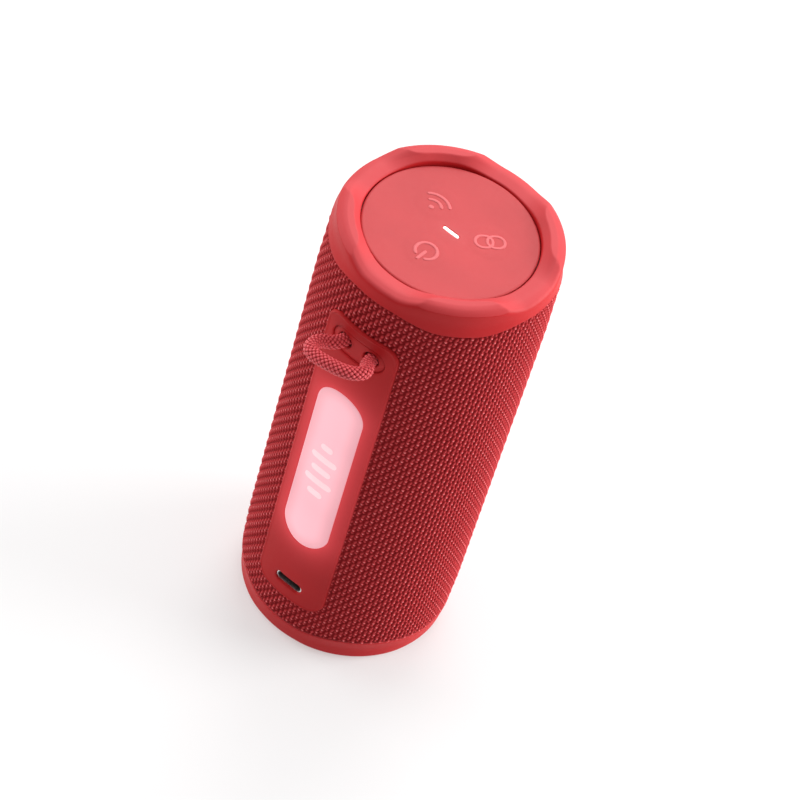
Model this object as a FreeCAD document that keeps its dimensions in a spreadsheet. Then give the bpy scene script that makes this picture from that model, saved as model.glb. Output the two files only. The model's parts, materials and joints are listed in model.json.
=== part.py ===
"""Portable cylindrical speaker: upright can with rubber end bumpers, woven sleeve, soft control disc,
lit rear spine with a charging socket and a carry loop, one front driver and a passive radiator below.

Frame, in millimetres: origin at the centre of the foot, +Z up, the lit spine faces -Y, the keys face +Y.
"""
import FreeCAD, Part
import math
import os
import Sketcher
from FreeCAD import Placement, Rotation, Vector

doc = FreeCAD.newDocument("portable_speaker")
sheet = doc.addObject("Spreadsheet::Sheet", "sizes")
FINISHED = []
X_AXIS = Vector(1, 0, 0)
Y_AXIS = Vector(0, 1, 0)
Z_AXIS = Vector(0, 0, 1)


# ---------------------------------------------------------------- driving dimensions
class Size:
    """A length or angle: its number, and the formula that ties it to the sheet's cells."""

    def __init__(self, number, formula):
        self.number = number
        self.formula = formula

    def __add__(self, other):
        other = as_size(other)
        return Size(self.number + other.number, f"({self.formula} + {other.formula})")

    def __sub__(self, other):
        other = as_size(other)
        return Size(self.number - other.number, f"({self.formula} - {other.formula})")

    def __mul__(self, other):
        other = as_size(other)
        return Size(self.number * other.number, f"({self.formula} * {other.formula})")

    def __truediv__(self, other):
        other = as_size(other)
        return Size(self.number / other.number, f"({self.formula} / {other.formula})")

    def __neg__(self):
        return Size(-self.number, f"(0 - {self.formula})")

    __radd__ = __add__
    __rmul__ = __mul__


def as_size(value):
    return value if isinstance(value, Size) else Size(float(value), repr(float(value)))


DRIVING = {
    # can
    "overall_height": 148.0,
    "can_radius": 31.0,
    "fabric_thickness": 1.0,
    "shell_radius": 29.9,
    "shell_wall": 2.1,
    "seam_gap": 0.1,
    # end bumpers
    "fabric_top": 141.8,
    "fabric_bottom": 7.6,
    "top_pad_drop": 2.1,
    "bottom_pad_rise": 1.0,
    "pad_angle": 39.0,
    "bumper_bore": 24.2,
    "bumper_round": 4.2,
    "bumper_lip_round": 1.0,
    "cap_top": 140.2,
    "cap_thickness": 2.0,
    "foot_cap_bottom": 6.4,
    "foot_cap_thickness": 3.2,
    "gasket_thickness": 0.5,
    # control disc
    "disc_radius": 23.5,
    "disc_top": 145.5,
    "disc_thickness": 1.6,
    "key_circle": 10.3,
    "key_radius": 6.2,
    "key_gap": 0.2,
    "key_stem_radius": 1.4,
    "key_stem_length": 0.35,
    "light_bar_length": 5.0,
    "light_bar_width": 1.0,
    "key_board_radius": 21.7,
    "switch_width": 4.5,
    "switch_gap": 0.45,
    "status_led_length": 3.0,
    "status_led_width": 1.6,
    "status_led_height": 0.8,
    "fitting_gap": 0.1,
    # rear spine
    "spine_width": 23.2,
    "spine_bottom": 18.0,
    "spine_top": 129.7,
    "spine_corner": 4.8,
    "spine_radius": 31.6,
    "window_width": 15.4,
    "window_bottom": 42.3,
    "window_top": 105.2,
    "window_recess": 0.12,
    "mark_pitch": 4.6,
    "mark_width": 2.2,
    "mark_thickness": 0.06,
    "light_guide_width": 13.6,
    "light_board_radius": 25.9,
    "light_board_width": 12.0,
    "light_board_height": 58.0,
    "source_pitch": 9.5,
    "source_width": 2.0,
    "source_depth": 1.1,
    "socket_height": 24.2,
    "socket_width": 8.9,
    "socket_thickness": 3.2,
    "socket_depth": 7.4,
    "socket_wall": 0.3,
    "socket_sink": 0.9,
    "socket_end_wall": 1.2,
    "tongue_setback": 1.0,
    "tongue_width": 6.6,
    "tongue_thickness": 0.7,
    "charge_board_width": 16.0,
    "charge_board_length": 9.6,
    "charge_board_depth": 21.5,
    # carry loop
    "loop_height": 122.5,
    "loop_spacing": 8.6,
    "cord_diameter": 3.8,
    "eyelet_diameter": 5.0,
    "eyelet_plate_width": 17.0,
    "eyelet_plate_height": 7.4,
    "eyelet_back": 0.9,
    "eyelet_sink": 0.5,
    "clamp_margin": 1.4,
    "clamp_rear": 27.75,
    "clamp_front": 23.5,
    # front keys
    "panel_width": 15.0,
    "panel_bottom": 92.0,
    "panel_top": 130.0,
    "front_key_radius": 4.3,
    "front_key_pitch": 11.0,
    "front_key_gap": 0.25,
    "front_stem_back": 27.6,
    "front_stem_front": 30.2,
    "front_board_width": 11.0,
    "front_board_height": 32.0,
    "front_board_back": 24.4,
    "front_switch_front": 27.05,
    # driver
    "driver_height": 50.0,
    "driver_length": 68.0,
    "driver_width": 38.0,
    "driver_face": 18.3,
    "driver_flange": 1.2,
    "basket_wall": 1.2,
    "basket_back": 4.5,
    "bowl_margin": 2.4,
    "neck_gap": 0.3,
    "grille_margin": 3.0,
    "grille_gap": 0.3,
    "grille_pitch": 5.2,
    "grille_slot_length": 26.0,
    "grille_slot_step": 6.0,
    "grille_slot_width": 2.8,
    "roll_width": 4.0,
    "roll_overlap": 0.6,
    "roll_edge": 3.6,
    "roll_wall": 0.5,
    "cone_wall": 1.56,
    "cone_back": 9.0,
    "cone_setback": 1.2,
    "cone_neck_margin": 2.0,
    "cone_neck_stretch": 4.0,
    "cone_edge_gap": 6.4,
    "dome_radius": 14.0,
    "dome_wall": 0.5,
    "dome_centre": 0.6,
    "dome_back": 9.6,
    "dome_inset": 0.6,
    "coil_radius": 8.0,
    "coil_wall": 0.4,
    "coil_gap": 0.35,
    "coil_back": 1.2,
    "magnet_radius": 14.0,
    "magnet_thickness": 4.0,
    "magnet_bore_gap": 0.6,
    "motor_plate_thickness": 2.0,
    "yoke_inset": 0.5,
    "spider_margin": 0.5,
    "spider_back": 6.6,
    "spider_thickness": 0.5,
    # passive radiator
    "radiator_plate_radius": 14.5,
    "radiator_roll_centre": 17.25,
    "radiator_roll_radius": 2.4,
    "radiator_roll_wall": 0.5,
    "radiator_bore": 20.2,
    "radiator_lip": 0.5,
    "radiator_plate_drop": 1.1,
    "radiator_weight_radius": 9.0,
    "radiator_weight_height": 4.0,
    # battery and boards
    "cell_radius": 9.2,
    "cell_length": 65.0,
    "cell_bottom": 32.0,
    "cell_depth": 13.9,
    "cell_gap": 0.05,
    "cradle_wall": 1.2,
    "cradle_margin": 2.0,
    "cradle_inset": 3.0,
    "main_board_middle": 117.0,
    "main_board_height": 32.0,
    "main_board_width": 44.0,
    "main_board_depth": 2.0,
    "board_thickness": 1.0,
    "screw_radius": 1.1,
    "screw_circle": 17.5,
    "screw_head_radius": 1.87,
    "screw_head_height": 0.9,
    "screw_tip_gap": 0.4,
}


def fill_sheet():
    for row, (name, number) in enumerate(DRIVING.items(), start=1):
        sheet.set(f"A{row}", name)
        sheet.set(f"B{row}", str(number))
        sheet.setAlias(f"B{row}", name)


fill_sheet()
doc.recompute()
S = {name: Size(number, f"sizes.{name}") for name, number in DRIVING.items()}
ZERO = Size(0.0, "0")


def bind(obj, prop, size):
    obj.setExpression(prop, as_size(size).formula)


# ---------------------------------------------------------------- sketches
def new_body(name):
    return doc.addObject("PartDesign::Body", name)


def sketch_on(body, role, offset=None):
    """A sketch on one of the body's own origin planes, moved along that plane's normal by offset."""
    plane = next(f for f in body.Origin.OriginFeatures if f.Role == role)
    sketch = body.newObject("Sketcher::SketchObject", body.Name + "_sketch")
    sketch.AttachmentSupport = [(plane, "")]
    sketch.MapMode = "FlatFace"
    if offset is not None:
        bind(sketch, "AttachmentOffset.Base.z", offset)
    return sketch


def constrain(sketch, *words):
    return sketch.addConstraint(Sketcher.Constraint(*words))


def driven(sketch, size, *words):
    """A dimension constraint whose value follows the sheet."""
    index = constrain(sketch, *words, as_size(size).number)
    bind(sketch, f"Constraints[{index}]", size)


def pin_point(sketch, geometry, end, x, y):
    """Fixes a point of the sketch at (x, y)."""
    for coordinate, axis, kind in ((x, -2, "DistanceX"), (y, -1, "DistanceY")):
        coordinate = as_size(coordinate)
        if coordinate.number == 0:
            constrain(sketch, "PointOnObject", geometry, end, axis)
        else:
            driven(sketch, coordinate, kind, -1, 1, geometry, end)


def polygon(sketch, corners):
    """A closed straight-sided outline through corners, each an (x, y) pair of sizes."""
    corners = [(as_size(x), as_size(y)) for x, y in corners]
    points = [Vector(x.number, y.number, 0) for x, y in corners]
    first = sketch.GeometryCount
    count = len(points)
    for i in range(count):
        sketch.addGeometry(Part.LineSegment(points[i], points[(i + 1) % count]))
    for i in range(count):
        constrain(sketch, "Coincident", first + i, 2, first + (i + 1) % count, 1)
    for i, (x, y) in enumerate(corners):
        pin_point(sketch, first + i, 1, x, y)


def rectangle(sketch, x, y, width, height):
    """A rectangle of that size centred on (x, y)."""
    x, y, width, height = map(as_size, (x, y, width, height))
    left, right = x - width / 2, x + width / 2
    low, high = y - height / 2, y + height / 2
    polygon(sketch, [(left, low), (right, low), (right, high), (left, high)])


def circle(sketch, x, y, radius):
    x, y, radius = map(as_size, (x, y, radius))
    index = sketch.addGeometry(Part.Circle(Vector(x.number, y.number, 0), Z_AXIS, radius.number))
    driven(sketch, radius, "Radius", index)
    pin_point(sketch, index, 3, x, y)


def corner_arc(sketch, x, y, radius, start):
    """A quarter or half round corner's arc, not yet tied to the sides beside it."""
    round_arc = Part.Circle(Vector(x, y, 0), Z_AXIS, radius)
    return sketch.addGeometry(Part.ArcOfCircle(round_arc, math.radians(start), math.radians(start + 90)))


def rounded_rectangle(sketch, x, y, width, height, radius):
    """A rectangle with round corners, centred on (x, y)."""
    x, y, width, height, radius = map(as_size, (x, y, width, height, radius))
    across, up = width / 2 - radius, height / 2 - radius
    r = radius.number
    arcs = []
    signs = ((1, 1, 0), (-1, 1, 90), (-1, -1, 180), (1, -1, 270))
    for sx, sy, start in signs:
        centre = (x.number + sx * across.number, y.number + sy * up.number)
        arcs.append(corner_arc(sketch, centre[0], centre[1], r, start))
    ends = [sketch.getPoint(arc, end) for arc in arcs for end in (1, 2)]
    for i, arc in enumerate(arcs):
        follower = arcs[(i + 1) % 4]
        side = sketch.addGeometry(Part.LineSegment(ends[2 * i + 1], ends[(2 * i + 2) % 8]))
        constrain(sketch, "Tangent", arc, 2, side, 1)
        constrain(sketch, "Tangent", side, 2, follower, 1)
        constrain(sketch, "Horizontal" if i % 2 == 0 else "Vertical", side)
    pin_point(sketch, arcs[0], 3, x + across, y + up)
    pin_point(sketch, arcs[2], 3, x - across, y - up)
    driven(sketch, radius, "Radius", arcs[0])
    for arc in arcs[1:]:
        constrain(sketch, "Equal", arcs[0], arc)


def stadium(sketch, x, y, width, height):
    """A slot with two half-round ends, longer along whichever side is larger, centred on (x, y)."""
    x, y, width, height = map(as_size, (x, y, width, height))
    upright = height.number > width.number
    radius = (width if upright else height) / 2
    reach = (height if upright else width) / 2 - radius
    dx, dy = (ZERO, reach) if upright else (reach, ZERO)
    turn = 0 if upright else -90
    arcs = []
    for side, start in ((1, 0), (-1, 180)):
        centre = Vector(x.number + side * dx.number, y.number + side * dy.number, 0)
        shape = Part.Circle(centre, Z_AXIS, radius.number)
        begin = math.radians(start + turn)
        arcs.append(sketch.addGeometry(Part.ArcOfCircle(shape, begin, begin + math.pi)))
    for one, other in ((0, 1), (1, 0)):
        begin = sketch.getPoint(arcs[one], 2)
        finish = sketch.getPoint(arcs[other], 1)
        line = sketch.addGeometry(Part.LineSegment(begin, finish))
        constrain(sketch, "Tangent", arcs[one], 2, line, 1)
        constrain(sketch, "Tangent", line, 2, arcs[other], 1)
    for arc, side in zip(arcs, (1, -1)):
        pin_point(sketch, arc, 3, x + dx * side, y + dy * side)
        driven(sketch, radius, "Radius", arc)


# ---------------------------------------------------------------- features
def pad(body, sketch, length, backwards=False):
    feature = body.newObject("PartDesign::Pad", body.Name + "_pad")
    feature.Profile = sketch
    feature.Reversed = backwards
    bind(feature, "Length", length)
    sketch.Visibility = False
    return feature


def pocket(body, sketch, length, backwards=False):
    feature = body.newObject("PartDesign::Pocket", body.Name + "_pocket")
    feature.Profile = sketch
    feature.Reversed = backwards
    bind(feature, "Length", length)
    return feature


def revolve(body, sketch, angle=None, kind="Revolution"):
    """Turns or cuts a profile about the sketch's upright axis, evenly each side where an angle is given."""
    feature = body.newObject(f"PartDesign::{kind}", f"{body.Name}_{kind}")
    feature.Profile = sketch
    feature.ReferenceAxis = (sketch, ["V_Axis"])
    if angle is None:
        feature.Angle = 360
    else:
        feature.Midplane = True
        bind(feature, "Angle", angle)
    return feature


def round_pattern(body, feature, count):
    """Repeats a feature evenly round the can's axis."""
    pattern = body.newObject("PartDesign::PolarPattern", body.Name + "_round")
    pattern.Originals = [feature]
    axis = next(f for f in body.Origin.OriginFeatures if f.Role == "Z_Axis")
    pattern.Axis = (axis, [""])
    pattern.Angle = 360
    pattern.Occurrences = count
    body.Tip = pattern
    return pattern


def fillet(body, feature, radius, wanted):
    """Rounds the feature's circular edges that wanted(radius, height) picks."""
    doc.recompute()
    names = []
    for index, edge in enumerate(feature.Shape.Edges, start=1):
        if isinstance(edge.Curve, Part.Circle) and wanted(edge.Curve.Radius, edge.Curve.Center.z):
            names.append(f"Edge{index}")
    rounding = body.newObject("PartDesign::Fillet", body.Name + "_fillet")
    rounding.Base = (feature, names)
    bind(rounding, "Radius", radius)
    return rounding


def turned(name, outline):
    """A body of revolution about +Z, from an outline of (radius, height) corners."""
    body = new_body(name)
    sketch = sketch_on(body, "XZ_Plane")
    polygon(sketch, outline)
    revolve(body, sketch)
    return body


def tube(name, inner, outer, bottom, top):
    inner, outer, bottom, top = map(as_size, (inner, outer, bottom, top))
    body = new_body(name)
    sketch = sketch_on(body, "XY_Plane", bottom)
    circle(sketch, 0, 0, outer)
    if inner.number > 0:
        circle(sketch, 0, 0, inner)
    pad(body, sketch, top - bottom)
    return body


def slab(name, draw, front, back):
    """A solid between the planes y = front and y = back, whose outline draw(sketch) puts in X and Z."""
    front, back = as_size(front), as_size(back)
    body = new_body(name)
    sketch = sketch_on(body, "XZ_Plane", -back)
    draw(sketch)
    pad(body, sketch, back - front)
    return body


def plate(name, draw, bottom, thickness):
    """A flat solid whose outline draw(sketch) puts in X and Y."""
    body = new_body(name)
    sketch = sketch_on(body, "XY_Plane", as_size(bottom))
    draw(sketch)
    pad(body, sketch, thickness)
    return body


def boolean(kind, name, first, second):
    result = doc.addObject(f"Part::{kind}", name)
    result.Base = first
    result.Tool = second
    return result


def cut(name, first, *tools):
    for number, tool in enumerate(tools, start=1):
        last = number == len(tools)
        first = boolean("Cut", name if last else f"{name}_cut{number}", first, tool)
    return first


def common(name, first, second):
    return boolean("Common", name, first, second)


def group(name, parts):
    """Separate solids kept as one node, such as a set of like fasteners."""
    result = doc.addObject("Part::Compound", name)
    result.Links = parts
    return result


def finish(obj, label):
    obj.Label = label
    FINISHED.append(obj)
    return obj


def wrapped(name, inner, outer, draw, side):
    """A plate curved round the can: a tube's wall inside the outline that draw makes, on side +1 or -1 of Y."""
    wall = tube(f"{name}_wall", inner, outer, 0, S["overall_height"])
    near, far = (ZERO, as_size(40)) if side > 0 else (as_size(-40), ZERO)
    outline = slab(f"{name}_outline", draw, near, far)
    return common(name, wall, outline)


# ---------------------------------------------------------------- heights and radii used by several parts
shell_inner = S["shell_radius"] - S["shell_wall"]
fabric_inner = S["can_radius"] - S["fabric_thickness"]
cap_bottom = S["cap_top"] - S["cap_thickness"]
shell_top = cap_bottom - S["gasket_thickness"]
foot_cap_top = S["foot_cap_bottom"] + S["foot_cap_thickness"]
shell_bottom = foot_cap_top + S["gasket_thickness"]
disc_bottom = S["disc_top"] - S["disc_thickness"]
window_middle = (S["window_bottom"] + S["window_top"]) / 2
window_height = S["window_top"] - S["window_bottom"]
spine_middle = (S["spine_bottom"] + S["spine_top"]) / 2
spine_height = S["spine_top"] - S["spine_bottom"]
panel_middle = (S["panel_bottom"] + S["panel_top"]) / 2
panel_height = S["panel_top"] - S["panel_bottom"]
# From just off the axis to beyond the can, for outlines cut through its rear and front walls.
REAR_CUT, FRONT_CUT = (-40, -10), (10, 40)
KEY_HEIGHTS = [panel_middle + S["front_key_pitch"] * step for step in (1, 0, -1)]


# ---------------------------------------------------------------- end bumpers and sleeve
# An edge further out than the first radius is a bumper's outer one, and nearer than the second its bore's.
OUTER_EDGE, BORE_EDGE, SAME_HEIGHT = 30.5, 25.0, 0.01


def pad_outline(sketch, inner, low, high):
    polygon(sketch, [(inner, low), (S["can_radius"], low), (S["can_radius"], high), (inner, high)])


def top_bumper():
    """Rubber ring round the control disc, with four tabs that reach down over the sleeve's edge."""
    body = new_body("top_bumper")
    sketch = sketch_on(body, "XZ_Plane")
    edge = S["can_radius"]
    outline = [
        (S["bumper_bore"], S["cap_top"]), (fabric_inner, S["cap_top"]), (fabric_inner, S["fabric_top"]),
        (edge, S["fabric_top"]), (edge, S["overall_height"]), (S["bumper_bore"], S["overall_height"]),
    ]
    polygon(sketch, outline)
    ring = revolve(body, sketch)
    tab_sketch = sketch_on(body, "XZ_Plane")
    pad_outline(tab_sketch, fabric_inner, S["fabric_top"] - S["top_pad_drop"], S["fabric_top"])
    tab = revolve(body, tab_sketch, S["pad_angle"])
    tabs = round_pattern(body, tab, 4)
    top = S["overall_height"].number
    rounded = fillet(body, tabs, S["bumper_round"], lambda r, z: r > OUTER_EDGE and abs(z - top) < SAME_HEIGHT)
    fillet(body, rounded, S["bumper_lip_round"], lambda r, z: r < BORE_EDGE and abs(z - top) < SAME_HEIGHT)
    body.Placement = Placement(Vector(), Rotation(Z_AXIS, 45))
    return finish(body, "top_bumper")


def bottom_bumper():
    """The matching rubber foot ring."""
    body = new_body("bottom_bumper")
    sketch = sketch_on(body, "XZ_Plane")
    edge = S["can_radius"]
    outline = [
        (S["bumper_bore"], 0), (edge, 0), (edge, S["fabric_bottom"]), (fabric_inner, S["fabric_bottom"]),
        (fabric_inner, S["foot_cap_bottom"]), (S["bumper_bore"], S["foot_cap_bottom"]),
    ]
    polygon(sketch, outline)
    revolve(body, sketch)
    tab_sketch = sketch_on(body, "XZ_Plane")
    pad_outline(tab_sketch, fabric_inner, S["fabric_bottom"], S["fabric_bottom"] + S["bottom_pad_rise"])
    tab = revolve(body, tab_sketch, S["pad_angle"])
    tabs = round_pattern(body, tab, 4)
    rounded = fillet(body, tabs, S["bumper_round"], lambda r, z: r > OUTER_EDGE and abs(z) < SAME_HEIGHT)
    fillet(body, rounded, S["bumper_lip_round"], lambda r, z: r < BORE_EDGE and abs(z) < SAME_HEIGHT)
    body.Placement = Placement(Vector(), Rotation(Z_AXIS, 45))
    return finish(body, "bottom_bumper")


def fabric_sleeve():
    """Woven sleeve between the bumpers, open at the spine and at the front key panel."""
    body = new_body("sleeve_tube")
    sketch = sketch_on(body, "XY_Plane", S["fabric_bottom"])
    circle(sketch, 0, 0, S["can_radius"])
    circle(sketch, 0, 0, fabric_inner)
    pad(body, sketch, S["fabric_top"] - S["fabric_bottom"])
    notch = S["pad_angle"] + 0.2
    below_edge = S["fabric_top"] - S["top_pad_drop"]
    for low, high in ((below_edge, S["fabric_top"] + 1),
                      (S["fabric_bottom"] - 1, S["fabric_bottom"] + S["bottom_pad_rise"])):
        notch_sketch = sketch_on(body, "XZ_Plane")
        inner, outer = fabric_inner - 0.5, S["can_radius"] + 0.5
        polygon(notch_sketch, [(inner, low), (outer, low), (outer, high), (inner, high)])
        groove = revolve(body, notch_sketch, notch, "Groove")
        round_pattern(body, groove, 4)
    body.Placement = Placement(Vector(), Rotation(Z_AXIS, 45))
    spine_hole = slab("sleeve_spine_hole", spine_outline, *REAR_CUT)
    panel_hole = slab("sleeve_panel_hole", panel_outline, *FRONT_CUT)
    return finish(cut("fabric_sleeve", body, spine_hole, panel_hole), "fabric_sleeve")


# ---------------------------------------------------------------- housing
def spine_outline(sketch):
    rounded_rectangle(sketch, 0, spine_middle, S["spine_width"], spine_height, S["spine_corner"])


def panel_outline(sketch):
    stadium(sketch, 0, panel_middle, S["panel_width"], panel_height)


def half_space(name, side):
    """Everything on one side of the housing's seam."""
    near, far = (S["seam_gap"] / 2, as_size(40)) if side > 0 else (as_size(-40), -S["seam_gap"] / 2)
    middle = S["overall_height"] / 2
    return slab(name, lambda sketch: rectangle(sketch, 0, middle, 80, S["overall_height"]), near, far)


def front_shell():
    """Front half of the housing, with the driver's opening and three key holes."""
    half = common("front_shell_half", tube("front_shell_tube", shell_inner, S["shell_radius"],
                                           shell_bottom, shell_top), half_space("front_side", 1))
    opening = slab("driver_opening", grille_outline, 8, 40)
    holes = []
    for number, height in enumerate(KEY_HEIGHTS, start=1):
        radius = S["front_key_radius"] + S["front_key_gap"]
        hole = slab(f"shell_key_hole{number}", lambda sketch: circle(sketch, 0, height, radius), 20, 40)
        holes.append(hole)
    return finish(cut("front_shell", half, opening, *holes), "front_shell")


def rear_shell():
    """Rear half of the housing, open for the light, the charging socket and the loop's two ends."""
    half = common("rear_shell_half", tube("rear_shell_tube", shell_inner, S["shell_radius"],
                                          shell_bottom, shell_top), half_space("rear_side", -1))
    light = slab("shell_light_opening", lambda sketch: guide_outline(sketch, 0.4), -40, -20)
    socket = slab("shell_socket_opening", lambda sketch: socket_outline(sketch, 0.2), -40, -20)
    loop = slab("shell_loop_opening", eyelet_outline, -40, -20)
    return finish(cut("rear_shell", half, light, socket, loop), "rear_shell")


def top_cap():
    """Closes the housing's top; its collar carries the control disc."""
    collar = S["disc_radius"] + 0.4
    outline = [
        (0, cap_bottom), (S["shell_radius"], cap_bottom), (S["shell_radius"], S["cap_top"]),
        (collar, S["cap_top"]), (collar, disc_bottom), (collar - 1.6, disc_bottom),
        (collar - 1.6, S["cap_top"]), (0, S["cap_top"]),
    ]
    body = turned("top_cap", outline)
    holes = sketch_on(body, "XY_Plane", S["cap_top"])
    screw_points(holes, S["screw_radius"])
    pocket(body, holes, S["cap_thickness"])
    return finish(body, "top_cap")


def bottom_cap():
    """Closes the housing's foot and frames the passive radiator."""
    outline = [
        (S["radiator_bore"], S["foot_cap_bottom"]), (S["shell_radius"], S["foot_cap_bottom"]),
        (S["shell_radius"], foot_cap_top), (S["radiator_bore"], foot_cap_top),
    ]
    return finish(turned("bottom_cap", outline), "bottom_cap")


def gaskets():
    inner, outer = shell_inner + 0.3, S["shell_radius"] - 0.3
    finish(tube("top_gasket", inner, outer, shell_top, cap_bottom), "top_gasket")
    finish(tube("bottom_gasket", inner, outer, foot_cap_top, shell_bottom), "bottom_gasket")


def screw_points(sketch, radius):
    """The three screws of the key board, evenly round the can's axis between the keys."""
    for turn in (90, 210, 330):
        angle = math.radians(turn)
        across, along = S["screw_circle"] * math.cos(angle), S["screw_circle"] * math.sin(angle)
        circle(sketch, across, along, radius)


def board_screws():
    """Three screws that hold the key board down on the top cap."""
    board_top = S["cap_top"] + S["board_thickness"]
    body = plate("board_screws", lambda sketch: screw_points(sketch, S["screw_head_radius"]), board_top,
                 S["screw_head_height"])
    shanks = sketch_on(body, "XY_Plane", board_top)
    screw_points(shanks, S["screw_radius"])
    pad(body, shanks, board_top - cap_bottom - S["screw_tip_gap"], backwards=True)
    return finish(body, "board_screws")


# ---------------------------------------------------------------- control disc and its keys
KEY_TURNS = {"power_key": -90, "link_key": 30, "pairing_key": 150}


def control_disc():
    """Soft disc with three round keys cut free in it and a slot for the status light."""
    body = new_body("control_disc")
    sketch = sketch_on(body, "XY_Plane", disc_bottom)
    circle(sketch, 0, 0, S["disc_radius"])
    rectangle(sketch, 0, 0, S["light_bar_length"] + S["fitting_gap"],
              S["light_bar_width"] + S["fitting_gap"])
    pad(body, sketch, S["disc_thickness"])
    hole = sketch_on(body, "XY_Plane", S["disc_top"])
    circle(hole, 0, -S["key_circle"], S["key_radius"] + S["key_gap"])
    holes = pocket(body, hole, S["disc_thickness"])
    round_pattern(body, holes, 3)
    return finish(body, "control_disc")


def disc_key(name, turn):
    """One key of the disc: a round pad and the stem that presses its switch."""
    body = new_body(name)
    sketch = sketch_on(body, "XY_Plane", disc_bottom)
    circle(sketch, S["key_circle"], 0, S["key_radius"])
    pad(body, sketch, S["disc_thickness"])
    stem = sketch_on(body, "XY_Plane", disc_bottom)
    circle(stem, S["key_circle"], 0, S["key_stem_radius"])
    pad(body, stem, S["key_stem_length"], backwards=True)
    body.Placement = Placement(Vector(), Rotation(Z_AXIS, turn))
    return finish(body, name)


def status_light():
    """Light pipe that shows as a bar in the middle of the disc."""
    bottom = S["cap_top"] + S["board_thickness"] + S["status_led_height"]
    draw = lambda sketch: rectangle(sketch, 0, 0, S["light_bar_length"], S["light_bar_width"])
    return finish(plate("status_light", draw, bottom, S["disc_top"] - bottom), "status_light")


def key_board():
    """Round board under the disc, and its three switches."""
    board_top = S["cap_top"] + S["board_thickness"]
    board = tube("key_board", 0, S["key_board_radius"], S["cap_top"], board_top)
    holes = sketch_on(board, "XY_Plane", board_top)
    screw_points(holes, S["screw_radius"])
    pocket(board, holes, S["board_thickness"])
    finish(board, "key_board")
    switch_top = disc_bottom - S["key_stem_length"] - S["switch_gap"]
    switches = []
    for name, turn in KEY_TURNS.items():
        draw = lambda sketch: rectangle(sketch, S["key_circle"], 0, S["switch_width"], S["switch_width"])
        switch = plate(f"{name}_switch", draw, board_top, switch_top - board_top)
        switch.Placement = Placement(Vector(), Rotation(Z_AXIS, turn))
        switches.append(switch)
    finish(group("disc_switches", switches), "disc_switches")
    draw = lambda sketch: rectangle(sketch, 0, 0, S["status_led_length"], S["status_led_width"])
    finish(plate("status_led", draw, board_top, S["status_led_height"]), "status_led")


# ---------------------------------------------------------------- rear spine
def guide_outline(sketch, margin=0.0):
    width = S["light_guide_width"] + margin
    stadium(sketch, 0, window_middle, width, window_height - (S["window_width"] - width))


def socket_outline(sketch, margin=0.0):
    stadium(sketch, 0, S["socket_height"], S["socket_width"] + margin, S["socket_thickness"] + margin)


def eyelet_outline(sketch):
    stadium(sketch, 0, S["loop_height"], S["eyelet_plate_width"], S["eyelet_plate_height"])


def eyelet_holes(sketch):
    for side in (1, -1):
        circle(sketch, S["loop_spacing"] / 2 * side, S["loop_height"], S["eyelet_diameter"] / 2)


def rear_spine():
    """Rubber spine over the sleeve's rear opening, with room for the window, the socket and the eyelets."""
    spine = wrapped("spine_blank", S["shell_radius"], S["spine_radius"], spine_outline, -1)
    width, height = S["window_width"] + S["fitting_gap"], window_height + S["fitting_gap"]
    window = slab("spine_window", lambda sketch: stadium(sketch, 0, window_middle, width, height), *REAR_CUT)
    socket = slab("spine_socket", lambda sketch: socket_outline(sketch, S["fitting_gap"]), *REAR_CUT)
    loop = slab("spine_loop", eyelet_outline, *REAR_CUT)
    return finish(cut("rear_spine", spine, window, socket, loop), "rear_spine")


def light_window():
    """Milky lens of the light, let into the spine."""
    draw = lambda sketch: stadium(sketch, 0, window_middle, S["window_width"], window_height)
    outer = S["spine_radius"] - S["window_recess"]
    return finish(wrapped("light_window", S["shell_radius"], outer, draw, -1), "light_window")


def window_marks():
    """Five level bars printed on the lens."""
    marks = []
    lengths = (5.0, 9.0, 6.5, 8.5, 4.0)
    inner = S["spine_radius"] - S["window_recess"]
    for number, length in enumerate(lengths):
        height = window_middle + S["mark_pitch"] * (number - 2)
        draw = lambda sketch: stadium(sketch, 0, height, length, S["mark_width"])
        marks.append(wrapped(f"mark{number}", inner, inner + S["mark_thickness"], draw, -1))
    return finish(group("window_marks", marks), "window_marks")


SOURCE_COUNT = 6


def light_engine():
    """Light guide behind the lens, and the board with its light sources."""
    finish(wrapped("light_guide", shell_inner, S["shell_radius"], guide_outline, -1), "light_guide")
    rear = -S["light_board_radius"]
    width, height = S["light_board_width"], S["light_board_height"]
    board = slab("light_board", lambda sketch: rectangle(sketch, 0, window_middle, width, height), rear,
                 rear + S["board_thickness"])
    finish(board, "light_board")
    sources = []
    for step in range(SOURCE_COUNT):
        place = window_middle + S["source_pitch"] * (step - (SOURCE_COUNT - 1) / 2)
        draw = lambda sketch: rectangle(sketch, 0, place, S["source_width"], S["source_width"])
        sources.append(slab(f"source{step}", draw, rear - S["source_depth"], rear))
    finish(group("light_sources", sources), "light_sources")


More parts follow.
